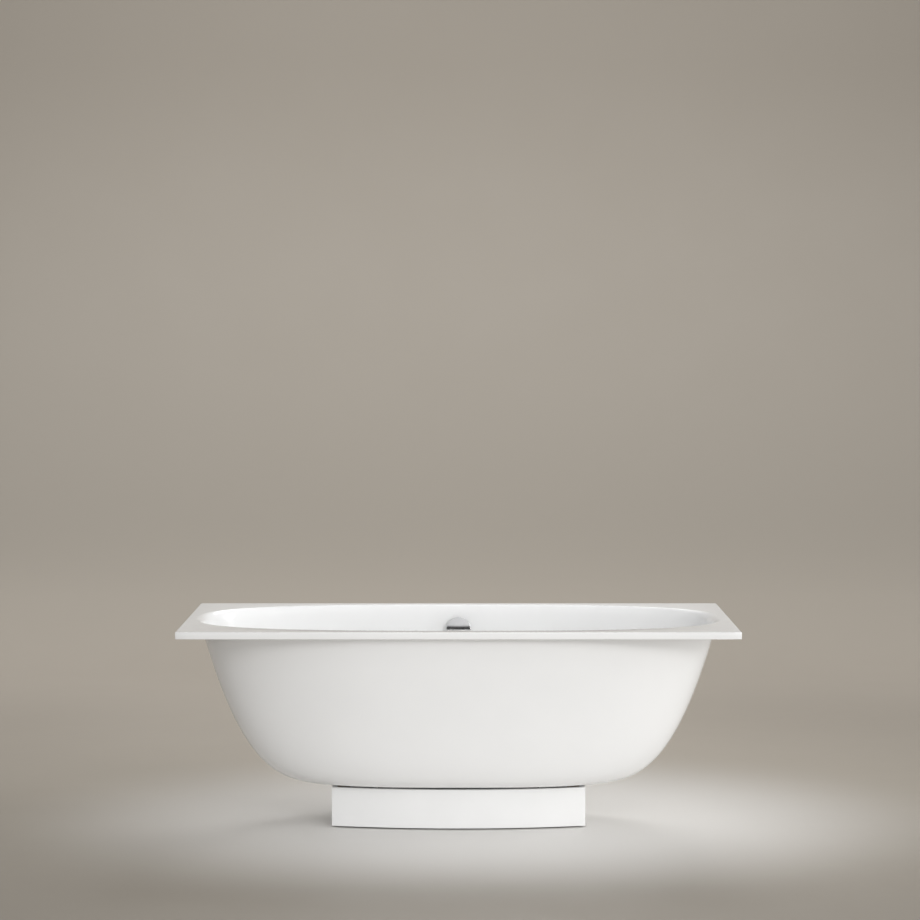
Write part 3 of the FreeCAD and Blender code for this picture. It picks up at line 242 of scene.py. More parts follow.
def object_of(bm, name):
    """Turns a bmesh into an object in the scene."""
    mesh = bpy.data.meshes.new(name)
    bm.to_mesh(mesh)
    bm.free()
    made = bpy.data.objects.new(name, mesh)
    scene.collection.objects.link(made)
    return made


def bmesh_of(made):
    """Opens an object's mesh as a bmesh."""
    bm = bmesh.new()
    bm.from_mesh(made.data)
    return bm


def piece(bm, name, body, slot, *nodes):
    """Turns a bmesh into a piece that rides on a body in place of CAD nodes."""
    made = object_of(bm, name)
    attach(made, body)
    if nodes:
        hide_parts(*nodes)
    made.data.materials.append(finishes[slot])
    return made


def smooth_shading(made, degrees):
    """Smooth faces with a crisp line wherever the surface turns by more than an angle."""
    made.data.polygons.foreach_set("use_smooth", [True] * len(made.data.polygons))
    made.data.set_sharp_from_angle(angle=math.radians(degrees))


def round_edges(bm, edges, width, steps):
    """Rounds edges, or chamfers them in one step."""
    bmesh.ops.bevel(bm, geom=edges, offset=width, segments=steps, profile=0.5,
                    affect="EDGES", material=-1)


def cut_square(bm, place, outwards):
    """Cuts off what lies beyond a plane and closes the end."""
    cut = bmesh.ops.bisect_plane(bm, geom=bm.verts[:] + bm.edges[:] + bm.faces[:],
                                 plane_co=place, plane_no=outwards, clear_outer=True)
    edges = [item for item in cut["geom_cut"] if isinstance(item, bmesh.types.BMEdge)]
    bmesh.ops.edgeloop_fill(bm, edges=edges)


def carve(made, shapes, operation="DIFFERENCE"):
    """Cuts shapes out of a piece for good, or joins them to it, and clears the slivers left."""
    tools = [object_of(bm, "cutter") for bm in shapes]
    for number, tool in enumerate(tools):
        cut = made.modifiers.new("cut_%d" % number, "BOOLEAN")
        cut.object = tool
        cut.operation = operation
        cut.solver = "EXACT"
    bpy.context.view_layer.update()
    graph = bpy.context.evaluated_depsgraph_get()
    rough = made.data
    made.data = bpy.data.meshes.new_from_object(made.evaluated_get(graph))
    made.modifiers.clear()
    for mesh in [rough] + [tool.data for tool in tools]:
        bpy.data.meshes.remove(mesh)
    made.data.name = made.name
    bm = bmesh_of(made)
    bmesh.ops.remove_doubles(bm, verts=bm.verts, dist=SLIVER)
    bmesh.ops.dissolve_degenerate(bm, dist=SLIVER, edges=bm.edges)
    bmesh.ops.triangulate(bm, faces=[face for face in bm.faces if len(face.verts) > 4])
    bm.to_mesh(made.data)
    bm.free()


def block(size, middle):
    """A plain block by its size and its middle."""
    bm = bmesh.new()
    bmesh.ops.create_cube(bm, size=1)
    bmesh.ops.scale(bm, vec=size, verts=bm.verts)
    bmesh.ops.translate(bm, vec=middle, verts=bm.verts)
    return bm


def turned(outline, steps, place=Matrix.Identity(4), closed=False):
    """Spins an outline of radius and height pairs about the upright axis."""
    bm = bmesh.new()
    verts = [bm.verts.new((radius, 0, height)) for radius, height in outline]
    pairs = list(zip(verts, verts[1:])) + ([(verts[-1], verts[0])] if closed else [])
    edges = [bm.edges.new(pair) for pair in pairs]
    bmesh.ops.spin(bm, geom=verts + edges, axis=(0, 0, 1), cent=(0, 0, 0), angle=2 * math.pi,
                   steps=steps, use_merge=True)
    bmesh.ops.remove_doubles(bm, verts=bm.verts, dist=SLIVER)
    bmesh.ops.recalc_face_normals(bm, faces=bm.faces)
    bmesh.ops.transform(bm, matrix=place, verts=bm.verts)
    return bm


def arc(middle, radius, first, last, steps):
    """Points of an outline's arc, by its middle, its radius and two angles."""
    turns = [math.radians(first + (last - first) * step / steps) for step in range(steps + 1)]
    return [(middle[0] + radius * math.cos(turn), middle[1] + radius * math.sin(turn))
            for turn in turns]


def dome(edge, crown, steps):
    """Points of an outline's low dome from its edge, which is left out, to its crown."""
    rise = crown - edge[1]
    radius = (edge[0] ** 2 + rise**2) / 2 / rise
    low = math.degrees(math.asin((radius - rise) / radius))
    return arc((0, crown - radius), radius, low, 90, steps)[1:]


# Shell


def oval_sum(across):
    """Is 1 on the bath's rounded oval, by shares of its half length and half width."""
    return abs(across.x) ** OVAL_POWER + abs(across.y) ** OVAL_POWER


def oval_ring(bm, station):
    """A closed ring of edges in the bath's rounded oval."""
    made = bmesh.ops.create_circle(bm, cap_ends=False, segments=OVAL_SEGMENTS, radius=1)
    for vert in made["verts"]:
        vert.co *= oval_sum(vert.co) ** (-1 / OVAL_POWER)
    half_length, half_width, height = station
    bmesh.ops.scale(bm, vec=(half_length, half_width, 1), verts=made["verts"])
    bmesh.ops.translate(bm, vec=(0, 0, height), verts=made["verts"])
    return list(bm.edges)


def grow(bm, ring):
    """Extrudes a ring of edges, and gives the new ring's edges and vertices."""
    made = bmesh.ops.extrude_edge_only(bm, edges=ring)["geom"]
    verts = {item for item in made if isinstance(item, bmesh.types.BMVert)}
    edges = [item for item in made
             if isinstance(item, bmesh.types.BMEdge) and verts.issuperset(item.verts)]
    return edges, list(verts)


def wall_rings(bm, ring, stations):
    """Runs a ring of edges through a row of stations, and gives the last ring."""
    for here, there in zip(stations, stations[1:]):
        ring, verts = grow(bm, ring)
        bmesh.ops.scale(bm, vec=(there[0] / here[0], there[1] / here[1], 1), verts=verts)
        bmesh.ops.translate(bm, vec=(0, 0, there[2] - here[2]), verts=verts)
    return ring


def rim_ring(bm, ring, halves, inset, height):
    """Grows a ring of edges out to the rim's rectangle."""
    ring, verts = grow(bm, ring)
    for vert in verts:
        across = Vector((vert.co.x / halves[0], vert.co.y / halves[1]))
        across /= max(abs(across.x), abs(across.y))
        vert.co = (across.x * (RIM_HALVES[0] - inset), across.y * (RIM_HALVES[1] - inset), height)
    return ring


def rim_rings(bm, mouth):
    """Grows the mouth's ring over the rim and under it to the top of the outer wall."""
    ring = rim_ring(bm, mouth, MOUTH_HALVES, RIM_BAND, TOP)
    ring = rim_ring(bm, ring, RIM_HALVES, 0, TOP)
    ring = rim_ring(bm, ring, RIM_HALVES, 0, RIM_LOW)
    ring = rim_ring(bm, ring, RIM_HALVES, RIM_BAND, RIM_LOW)
    ring, verts = grow(bm, ring)
    for vert in verts:
        across = Vector((vert.co.x / (RIM_HALVES[0] - RIM_BAND),
                         vert.co.y / (RIM_HALVES[1] - RIM_BAND)))
        across /= oval_sum(across) ** (1 / OVAL_POWER)
        vert.co = (across.x * OUTER_HALVES[0], across.y * OUTER_HALVES[1], RIM_LOW)
    return ring


def ease_rim(bm):
    """Rounds the rim's upright corners, then the edges around its top and its underside."""
    corners = [edge for edge in bm.edges
               if all(abs(abs(vert.co[axis]) - RIM_HALVES[axis]) < SLIVER
                      for vert in edge.verts for axis in range(2))]
    round_edges(bm, corners, RIM_CORNER, RIM_CORNER_STEPS)
    around = [edge for edge in bm.edges
              if edge.calc_face_angle(0) > math.radians(RIM_SHARP)
              and min(vert.co.z for vert in edge.verts) > RIM_LOW - SLIVER
              and any(abs(vert.co[axis]) > RIM_HALVES[axis] - 2 * RIM_CORNER
                      for vert in edge.verts for axis in range(2))]
    round_edges(bm, around, RIM_EASE, EASE_STEPS)


def wall_halves(top_halves, share):
    """A wall's half length and half width, a share of the way from the base to its top."""
    return [base + (top - base) * share for base, top in zip(BASE_HALVES, top_halves)]


def outer_station(share):
    """The outer wall's half length, half width and height."""
    return (*wall_halves(OUTER_HALVES, share), BASE + OUTER_RISE * share**SWELL_POWER)


def inner_station(share):
    """The same for the inner wall, which eases into the flat floor."""
    above = BASE + WALL + INNER_RISE * share**SWELL_POWER - FLOOR
    if above < BLEND_HEIGHT:
        above = FLOOR_BLEND * math.log1p(math.exp(above / FLOOR_BLEND))
    return (*wall_halves(INNER_HALVES, share), FLOOR + above)


def lip_stations():
    """The rolled lip from the mouth down to the inner wall, and the wall's share where it ends."""
    low = ((INNER_RISE + RIM_EDGE - LIP_DEPTH) / INNER_RISE) ** (1 / SWELL_POWER)
    wall = inner_station(low)
    climb = SWELL_POWER * INNER_RISE * low ** (SWELL_POWER - 1)
    corner = [wall[axis] + (INNER_HALVES[axis] - BASE_HALVES[axis]) / climb * LIP_DEPTH
              for axis in range(2)]
    points = ((*MOUTH_HALVES, TOP), (*corner, TOP), wall)
    stations = []
    for step in range(LIP_RINGS + 1):
        share = step / LIP_RINGS
        weights = ((1 - share) ** 2, 2 * share * (1 - share), share**2)
        stations.append([sum(weight * point[axis] for weight, point in zip(weights, points))
                         for axis in range(3)])
    return stations, low


def drain_cutter():
    """What is cut out of the floor for the drain and its seat."""
    radius, height = DRAIN_SEAT
    above, below = FLOOR + DRAIN_SPARE, BASE - DRAIN_SPARE
    outline = [(0, above), (radius, above), DRAIN_SEAT, (DRAIN_HOLE, height), (DRAIN_HOLE, below),
               (0, below)]
    return turned(outline, CUTTER_STEPS, DRAIN_PLACE)


def overflow_cutter():
    """What is cut out of the wall for the overflow, its plate's seat and its body's seat."""
    front, back = OVERFLOW_SPARE
    outline = [(0, front), (PLATE_SEAT[0], front), PLATE_SEAT, (OVERFLOW_HOLE, PLATE_SEAT[1]),
               (OVERFLOW_HOLE, BODY_SEAT[1]), BODY_SEAT, (BODY_SEAT[0], back), (0, back)]
    return turned(outline, CUTTER_STEPS, OVERFLOW_PLACE)


def shell():
    """The casting: rim, lip, inside wall, floor, outside wall and underside in one closed skin."""
    lip, low = lip_stations()
    inside = lip + [inner_station(low + (FLOOR_SHARE - low) * step / WALL_RINGS)
                    for step in range(1, WALL_RINGS + 1)]
    outside = [outer_station(1 - step / WALL_RINGS) for step in range(WALL_RINGS + 1)]
    bm = bmesh.new()
    mouth = oval_ring(bm, lip[0])
    bmesh.ops.edgeloop_fill(bm, edges=wall_rings(bm, mouth, inside))
    bmesh.ops.edgeloop_fill(bm, edges=wall_rings(bm, rim_rings(bm, mouth), outside))
    ease_rim(bm)
    bmesh.ops.recalc_face_normals(bm, faces=bm.faces)
    made = piece(bm, "shell_casting", "bath", "shell", "bath_shell")
    carve(made, [drain_cutter(), overflow_cutter()])
    smooth_shading(made, CAST_CRISP)


# Plug and knob


def plug():
    """The domed cap over the drain, with an eased edge and the hole for its stem."""
    top = PLUG_LOW + PLUG_EDGE
    inset = PLUG_RADIUS - PLUG_EASE
    head = PLUG_LOW + STEM_HEAD
    outline = [(STEM_RADIUS, head), (STEM_RADIUS, PLUG_LOW)]
    outline += arc((inset, PLUG_LOW + PLUG_EASE), PLUG_EASE, -90, 0, EDGE_STEPS)
    outline += arc((inset, top - PLUG_EASE), PLUG_EASE, 0, PLUG_SHOULDER, PLUG_SHOULDER_STEPS)
    outline += dome((inset, top), top + PLUG_DOME, PLUG_DOME_STEPS)
    outline.append((0, head))
    bm = turned(outline, ROUND_STEPS, DRAIN_PLACE, closed=True)
    made = piece(bm, "plug_dome", "plug", "chrome", "plug_cap")
    smooth_shading(made, TURNED_CRISP)


def grub_cutter():
    """What is cut out of the knob for its grub screw."""
    bm = bmesh.new()
    bmesh.ops.create_cone(bm, cap_ends=True, segments=GRUB_STEPS, radius1=GRUB_RADIUS,
                          radius2=GRUB_RADIUS, depth=KNOB_RADIUS)
    below = Matrix.Translation((0, -KNOB_RADIUS / 2 - SPINDLE_RADIUS, KNOB_LOW + SPINDLE_GRIP / 2))
    place = OVERFLOW_PLACE @ below @ Matrix.Rotation(math.pi / 2, 4, "X")
    bmesh.ops.transform(bm, matrix=place, verts=bm.verts)
    return bm


def knob():
    """The hollow round knob with a rounded front edge, its hub and the hole for its grub screw."""
    top = KNOB_LOW + KNOB_SIDE
    skirt = KNOB_RADIUS - KNOB_SKIN
    inside = top - KNOB_SKIN
    grip = KNOB_LOW + SPINDLE_GRIP
    lip = KNOB_LOW + KNOB_LIP
    inset = KNOB_RADIUS - KNOB_EDGE
    outline = [(0, grip), (SPINDLE_RADIUS, grip), (SPINDLE_RADIUS, KNOB_LOW), (KNOB_HUB, KNOB_LOW),
               (KNOB_HUB, inside), (skirt, inside), (skirt, lip), (skirt + KNOB_LIP, KNOB_LOW)]
    outline += arc((KNOB_RADIUS - KNOB_LIP, lip), KNOB_LIP, -90, 0, EDGE_STEPS)
    outline += arc((inset, top - KNOB_EDGE), KNOB_EDGE, 0, KNOB_SHOULDER, KNOB_SHOULDER_STEPS)
    outline += dome((inset, top), top + KNOB_DOME, KNOB_DOME_STEPS)
    bm = turned(outline, ROUND_STEPS, OVERFLOW_PLACE, closed=True)
    made = piece(bm, "knob_cap", "knob", "chrome", "overflow_knob")
    carve(made, [grub_cutter()])
    smooth_shading(made, TURNED_CRISP)


# Plinth


def bowed_bar(outer, inner, low, high, half, side):
    """A bar bent to the bow, with square ends: side is -1 for the front and 1 for the back."""
    bm = bmesh.new()
    start = math.asin(half / (inner - BOW_CENTRE)) + BOW_SPARE
    corners = ((outer, low), (outer, high), (inner, high), (inner, low))
    end = bm.faces.new([bm.verts.new((0, reach, height)) for reach, height in corners])
    centre = (0, BOW_CENTRE, 0)
    bmesh.ops.rotate(bm, cent=centre, matrix=Matrix.Rotation(start, 3, "Z"), verts=bm.verts)
    bmesh.ops.spin(bm, geom=[end], axis=(0, 0, 1), cent=centre, angle=-2 * start, steps=BOW_STEPS)
    bmesh.ops.remove_doubles(bm, verts=bm.verts, dist=SLIVER)
    for right in (-1, 1):
        cut_square(bm, (right * half, 0, 0), (right, 0, 0))
    bmesh.ops.scale(bm, vec=(1, side, 1), verts=bm.verts)
    bmesh.ops.recalc_face_normals(bm, faces=bm.faces)
    return bm


def bowed_panel(name, node, side):
    """A bowed board of the plinth."""
    bm = bowed_bar(PLINTH_REACH, PLINTH_REACH - PANEL, PLINTH_LOW, PLINTH_HIGH, PLINTH_HALF, side)
    return piece(bm, name, "bath", "board", node)


def straight_panel(name, node):
    """An end board between the two bowed ones."""
    low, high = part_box(node)
    bm = block(high - low, (low + high) / 2)
    for vert in bm.verts:
        reach = BOW_CENTRE + math.sqrt((BOW_RADIUS - PANEL) ** 2 - vert.co.x**2)
        vert.co.y = math.copysign(reach, vert.co.y)
    return piece(bm, name, "bath", "board", node)


def ease_edges(made, width):
    """Rounds every sharp edge of a board or strip a little."""
    bm = bmesh_of(made)
    sharp = [edge for edge in bm.edges if edge.calc_face_angle(0) > math.radians(PANEL_SHARP)]
    round_edges(bm, sharp, width, EASE_STEPS)
    bm.to_mesh(made.data)
    bm.free()
    smooth_shading(made, CAST_CRISP)


def service_cutter():
    """What is cut out of the rear board for the pipes."""
    left, right = SERVICE_SIDES
    return block((right - left, SERVICE_DEPTH, SERVICE_HEIGHT),
                 ((left + right) / 2, PLINTH_REACH, SERVICE_SILL + SERVICE_HEIGHT / 2))


def plinth():
    """The four boards with eased edges, the rear one with its service opening."""
    front = bowed_panel("plinth_front_board", "plinth_front_panel", -1)
    rear = bowed_panel("plinth_rear_board", "plinth_rear_panel", 1)
    carve(rear, [service_cutter()])
    right = straight_panel("plinth_right_board", "plinth_right_panel")
    left = straight_panel("plinth_left_board", "plinth_left_panel")
    for board in (front, rear, right, left):
        ease_edges(board, PANEL_EASE)


def shade_strip():
    """A dark strip behind the front board, painted shade: it keeps the shadow gap between the
    plinth and the shell dark where the rear service opening would show through.
    """
    outer = PLINTH_REACH - PANEL
    bm = bowed_bar(outer, outer - STRIP_THICKNESS, BASE - STRIP_HEIGHT, BASE, STRIP_HALF, -1)
    made = piece(bm, "front_shade_strip", "bath", "rubber")
    ease_edges(made, STRIP_EASE)


# Feet


def screw_thread(low, high):
    """A rod's screw thread: one turn of its outline wound upwards, then cut square at both ends."""
    bm = bmesh.new()
    verts = [bm.verts.new((radius, 0, low + THREAD_PITCH * (share - 1)))
             for radius, share in THREAD_OUTLINE]
    edges = [bm.edges.new(pair) for pair in zip(verts, verts[1:])]
    turns = math.ceil((high - low) / THREAD_PITCH) + THREAD_SPARE_TURNS
    bmesh.ops.spin(bm, geom=verts + edges, axis=(0, 0, 1), cent=(0, 0, 0),
                   dvec=(0, 0, THREAD_PITCH / THREAD_STEPS), angle=2 * math.pi * turns,
                   steps=turns * THREAD_STEPS)
    bmesh.ops.remove_doubles(bm, verts=bm.verts, dist=THREAD_WELD)
    cut_square(bm, (0, 0, low), (0, 0, -1))
    cut_square(bm, (0, 0, high), (0, 0, 1))
    bmesh.ops.recalc_face_normals(bm, faces=bm.faces)
    return bm


def stud_hexagon():
    """The chamfered hexagon that a spanner turns."""
    bm = bmesh.new()
    low, high = STUD_FLATS
    turn = math.pi / HEXAGON
    reach = STUD_ACROSS / 2 / math.cos(turn)
    bmesh.ops.create_cone(bm, cap_ends=True, segments=HEXAGON, radius1=reach, radius2=reach,
                          depth=high - low)
    bmesh.ops.rotate(bm, cent=(0, 0, 0), matrix=Matrix.Rotation(turn, 3, "Z"), verts=bm.verts)
    bmesh.ops.translate(bm, vec=(0, 0, (low + high) / 2), verts=bm.verts)
    level = [edge for edge in bm.edges
             if abs(edge.verts[0].co.z - edge.verts[1].co.z) < SLIVER]
    round_edges(bm, level, STUD_CHAMFER, 1)
    return bm


def stud_ball():
    """The ball that sits in the pad, and the neck above it."""
    shoulder = math.degrees(math.acos(STUD_NECK / STUD_BALL))
    outline = arc((0, STUD_BALL_HEIGHT), STUD_BALL, -90, shoulder, STUD_BALL_STEPS)
    outline += [(STUD_NECK, STUD_MIDDLE), (0, STUD_MIDDLE)]
    return turned(outline, STUD_STEPS)


def foot_studs():
    """The four levelling studs, each with a ball, a hexagon and a screw thread."""
    stud = object_of(stud_ball(), "stud")
    carve(stud, [stud_hexagon(), screw_thread(STUD_MIDDLE, STUD_TOP)], "UNION")
    for side, right in (("right", 1), ("left", -1)):
        for end, back in (("back", 1), ("front", -1)):
            corner = end + "_" + side
            bm = bmesh_of(stud)
            place = (right * FOOT_PLACE[0], back * FOOT_PLACE[1], 0)
            bmesh.ops.translate(bm, vec=place, verts=bm.verts)
            made = piece(bm, corner + "_threaded_stud", corner + "_foot", "foot_steel",
                         corner + "_foot_stud")
            smooth_shading(made, STUD_CRISP)
    bpy.data.meshes.remove(stud.data)


# Building finishes from nodes


def give(tree, value, socket):
    """Links a value from another node to a socket, or sets it there."""
    if isinstance(value, bpy.types.NodeSocket):
        tree.links.new(value, socket)
    else:
        socket.default_value = value


def add(tree, kind, props=(), **inputs):
    """Adds a node with its settings, and gives its inputs by name."""
    made = tree.nodes.new(kind)
    for name, value in dict(props).items():
        setattr(made, name, value)
    for name, value in inputs.items():
        give(tree, value, made.inputs[name.replace("_", " ")])
    return made


def mixed(tree, share, first, second):
    """Mixes two colours by a share that changes over the surface."""
    made = add(tree, "ShaderNodeMix", {"data_type": "RGBA"})
    sockets = {socket.identifier: socket for socket in made.inputs}
    give(tree, share, sockets["Factor_Float"])
    give(tree, first, sockets["A_Color"])
    give(tree, second, sockets["B_Color"])
    return next(socket for socket in made.outputs if socket.identifier == "Result_Color")


def effect(name, inputs, output):
    """A shared surface effect with named values and one output, and its object's coordinates."""
    tree = bpy.data.node_groups.new(name, "ShaderNodeTree")
    for label, value in inputs.items():
        kind = "NodeSocketVector" if isinstance(value, tuple) else "NodeSocketFloat"
        socket = tree.interface.new_socket(name=label, in_out="INPUT", socket_type=kind)
        socket.default_value = value
    tree.interface.new_socket(name=output, in_out="OUTPUT", socket_type="NodeSocketFloat")
    given = tree.nodes.new("NodeGroupInput").outputs
    wanted = tree.nodes.new("NodeGroupOutput").inputs[output]
    place = add(tree, "ShaderNodeTexCoord").outputs["Object"]
    return tree, given, wanted, place


def patches_effect():
    """Soft patches of more and less, for uneven gloss and colour."""
    values = {"Scale": 8.0, "Low": 0.0, "High": 1.0}
    tree, given, wanted, place = effect("soft_patches", values, "Amount")
    noise = add(tree, "ShaderNodeTexNoise", Vector=place, Scale=given["Scale"], Detail=4.0,
                Roughness=0.55)
    spread = add(tree, "ShaderNodeMapRange", Value=noise.outputs["Fac"], From_Min=0.3,
                 From_Max=0.7, To_Min=given["Low"], To_Max=given["High"])
    tree.links.new(spread.outputs["Result"], wanted)
    return tree


def grain_effect():
    """Grain drawn out along one axis, for planed wood, extruded metal and brushed plating."""
    values = {"Stretch": (1.0, 1.0, 1.0), "Low": 0.0, "High": 1.0}
    tree, given, wanted, place = effect("drawn_grain", values, "Amount")
    drawn = add(tree, "ShaderNodeVectorMath", {"operation": "MULTIPLY"})
    tree.links.new(place, drawn.inputs[0])
    tree.links.new(given["Stretch"], drawn.inputs[1])
    noise = add(tree, "ShaderNodeTexNoise", Vector=drawn.outputs["Vector"], Scale=1.0, Detail=6.0,
                Roughness=0.6)
    spread = add(tree, "ShaderNodeMapRange", Value=noise.outputs["Fac"], From_Min=0.25,
                 From_Max=0.75, To_Min=given["Low"], To_Max=given["High"])
    tree.links.new(spread.outputs["Result"], wanted)
    return tree


def stipple_effect():
    """Fine moulded or rolled stipple."""
    tree, given, wanted, place = effect("fine_stipple", {"Scale": 900.0}, "Height")
    noise = add(tree, "ShaderNodeTexNoise", Vector=place, Scale=given["Scale"], Detail=2.0,
                Roughness=0.5)
    tree.links.new(noise.outputs["Fac"], wanted)
    return tree


def placed(tree, group, **inputs):
    """Places a shared effect in a finish with its own values."""
    made = add(tree, "ShaderNodeGroup", {"node_tree": group}, **inputs)
    return made.outputs[0]


def finish(name, metallic=False):
    """An empty finish with its surface shader."""
    made = bpy.data.materials.new(name)
    made.use_nodes = True
    surface = made.node_tree.nodes["Principled BSDF"]
    if metallic:
        surface.inputs["Metallic"].default_value = 1.0
    return made.node_tree, surface, made


def coat(tree, surface, colour, roughness, height=None, depth=0.0, strength=1.0):
    """Links a colour, a roughness and, where given, a relief to a finish."""
    tree.links.new(colour, surface.inputs["Base Color"])
    tree.links.new(roughness, surface.inputs["Roughness"])
    if height is not None:
        bump = add(tree, "ShaderNodeBump", Strength=strength, Distance=depth, Height=height)
        tree.links.new(bump.outputs["Normal"], surface.inputs["Normal"])


# Finishes


def opaque(red, green, blue):
    """A colour for a node's socket."""
    return red, green, blue, 1


def gel_coat():
    """White gel coat: deep gloss, with the faint waviness and tone of a cast surface."""
    tree, surface, made = finish("white_gel_coat")
    tone = placed(tree, patches, Scale=3.0)
    colour = mixed(tree, tone, opaque(0.862, 0.864, 0.862), opaque(0.884, 0.886, 0.884))
    gloss = placed(tree, patches, Scale=14.0, Low=0.10, High=0.15)
    ripple = placed(tree, stipple, Scale=220.0)
    coat(tree, surface, colour, gloss, height=ripple, depth=0.00004, strength=0.25)
    surface.inputs["IOR"].default_value = 1.5
    return made


def satin_paint():
    """White satin paint, with the fine stipple of a roller."""
    tree, surface, made = finish("satin_white_paint")
    tone = placed(tree, patches, Scale=9.0)
    colour = mixed(tree, tone, opaque(0.820, 0.822, 0.820), opaque(0.845, 0.847, 0.845))
    gloss = placed(tree, patches, Scale=30.0, Low=0.30, High=0.40)
    roller = placed(tree, stipple, Scale=700.0)
    coat(tree, surface, colour, gloss, height=roller, depth=0.0001, strength=0.3)
    return made


def planed_pine():
    """Planed softwood with upright grain."""
    tree, surface, made = finish("planed_pine")
    grain = placed(tree, grains, Stretch=(90.0, 90.0, 5.0))
    colour = mixed(tree, grain, opaque(0.62, 0.42, 0.22), opaque(0.40, 0.23, 0.10))
    gloss = placed(tree, grains, Stretch=(200.0, 200.0, 12.0), Low=0.5, High=0.7)
    fibres = placed(tree, grains, Stretch=(400.0, 400.0, 14.0))
    coat(tree, surface, colour, gloss, height=fibres, depth=0.0003, strength=0.35)
    return made


def chrome_plate():
    """Polished chrome with the faint smears that hands and drying water leave."""
    tree, surface, made = finish("polished_chrome", metallic=True)
    smear = placed(tree, patches, Scale=42.0)
    colour = mixed(tree, smear, opaque(0.75, 0.75, 0.76), opaque(0.79, 0.79, 0.80))
    gloss = placed(tree, patches, Scale=60.0, Low=0.05, High=0.11)
    coat(tree, surface, colour, gloss)
    return made


def metal(name, tones, marks, gloss, relief, depth, strength=0.3):
    """A bare or plated metal: two tones, uneven gloss and a relief."""
    tree, surface, made = finish(name, metallic=True)
    tone = placed(tree, patches, Scale=marks)
    shine = placed(tree, patches, Scale=marks * METAL_GLOSS_SCALE, Low=gloss[0], High=gloss[1])
    lines = placed(tree, grains, Stretch=relief)
    colour = mixed(tree, tone, *tones)
    coat(tree, surface, colour, shine, height=lines, depth=depth, strength=strength)
    return made


def moulded(name, tones, gloss, texture, depth):
    """A moulded plastic or rubber with a fine die texture."""
    tree, surface, made = finish(name)
    tone = placed(tree, patches, Scale=24.0)
    shine = placed(tree, patches, Scale=55.0, Low=gloss[0], High=gloss[1])
    die = placed(tree, stipple, Scale=texture)
    colour = mixed(tree, tone, *tones)
    coat(tree, surface, colour, shine, height=die, depth=depth, strength=0.5)
    return made


patches = patches_effect()
grains = grain_effect()
stipple = stipple_effect()
finishes = {
    "shell": gel_coat(),
    "board": satin_paint(),
    "post_wood": planed_pine(),
    "chrome": chrome_plate(),
    "bearer_metal": metal(
        "extruded_aluminium", tones=(opaque(0.60, 0.61, 0.62), opaque(0.50, 0.51, 0.52)),
        marks=12.0, gloss=(0.28, 0.42), relief=(900.0, 6.0, 900.0), depth=0.0001, strength=0.4),
    "brass": metal(
        "machined_brass", tones=(opaque(0.58, 0.40, 0.15), opaque(0.48, 0.31, 0.10)),
        marks=60.0, gloss=(0.22, 0.36), relief=(400.0, 400.0, 2200.0), depth=0.00005),
    "steel": metal(
        "zinc_plate", tones=(opaque(0.52, 0.53, 0.54), opaque(0.43, 0.43, 0.43)),
        marks=90.0, gloss=(0.28, 0.45), relief=(600.0, 600.0, 600.0), depth=0.00006),
    "foot_steel": metal(
        "zinc_stud", tones=(opaque(0.50, 0.51, 0.52), opaque(0.42, 0.42, 0.42)),
        marks=90.0, gloss=(0.28, 0.42), relief=(500.0, 500.0, 1400.0), depth=0.00005),
    "rubber": moulded(
        "black_rubber", tones=(opaque(0.020, 0.020, 0.021), opaque(0.036, 0.035, 0.034)),
        gloss=(0.62, 0.82), texture=1200.0, depth=0.0001),
    "foot_plastic": moulded(
        "dark_foot_plastic", tones=(opaque(0.022, 0.022, 0.024), opaque(0.034, 0.034, 0.036)),
        gloss=(0.42, 0.58), texture=1500.0, depth=0.0002),
    "pipe_plastic": moulded(
        "pale_pipe_plastic", tones=(opaque(0.70, 0.70, 0.675), opaque(0.75, 0.75, 0.73)),
        gloss=(0.30, 0.42), texture=500.0, depth=0.00005),
    "nut_plastic": moulded(
        "pale_nut_plastic", tones=(opaque(0.60, 0.60, 0.585), opaque(0.66, 0.66, 0.645)),
        gloss=(0.36, 0.5), texture=900.0, depth=0.00012),
}


def finish_solids():
    """Gives every CAD node the finish of its slot."""
    for part in frame["record"]["subparts"]:
        materials = frame["nodes"][part["node"]].data.materials
        materials.clear()
        materials.append(finishes[part["material_slot"]])


# Studio


def paper_colour_and_painted_light(tree):
    """The paper's tones from front to back are painted light and shade, darker just in front of the
    bath, with a painted pale pool of light around the bath.
    """
    place = add(tree, "ShaderNodeTexCoord").outputs["Object"]
    around = add(tree, "ShaderNodeMapping", Vector=place, Location=POOL_SHIFT, Scale=POOL_SCALE)
    away = add(tree, "ShaderNodeVectorMath", {"operation": "LENGTH"},
               Vector=around.outputs["Vector"])
    fade = add(tree, "ShaderNodeMapRange", {"interpolation_type": "SMOOTHERSTEP"},
               Value=away.outputs["Value"], From_Min=POOL_FADE[0], From_Max=POOL_FADE[1])
    depth = add(tree, "ShaderNodeSeparateXYZ", Vector=place).outputs["Y"]
    front, back = PAPER_TONES_AND_PAINTED_LIGHT[0][0], PAPER_TONES_AND_PAINTED_LIGHT[-1][0]
    share = add(tree, "ShaderNodeMapRange", Value=depth, From_Min=front, From_Max=back)
    # painted light and shade by how far back the paper lies
    taupe = add(tree, "ShaderNodeValToRGB", Fac=share.outputs["Result"])
    taupe.color_ramp.interpolation = "B_SPLINE"
    stops = taupe.color_ramp.elements
    for reach, tone in PAPER_TONES_AND_PAINTED_LIGHT[1:-1]:
        stops.new((reach - front) / (back - front)).color = opaque(*tone)
    stops[0].color = opaque(*PAPER_TONES_AND_PAINTED_LIGHT[0][1])
    stops[len(stops) - 1].color = opaque(*PAPER_TONES_AND_PAINTED_LIGHT[-1][1])
    # the painted pool of light is laid over the paper's tones
    return mixed(tree, fade.outputs["Result"], opaque(*PAINTED_POOL_TONE), taupe.outputs["Color"])


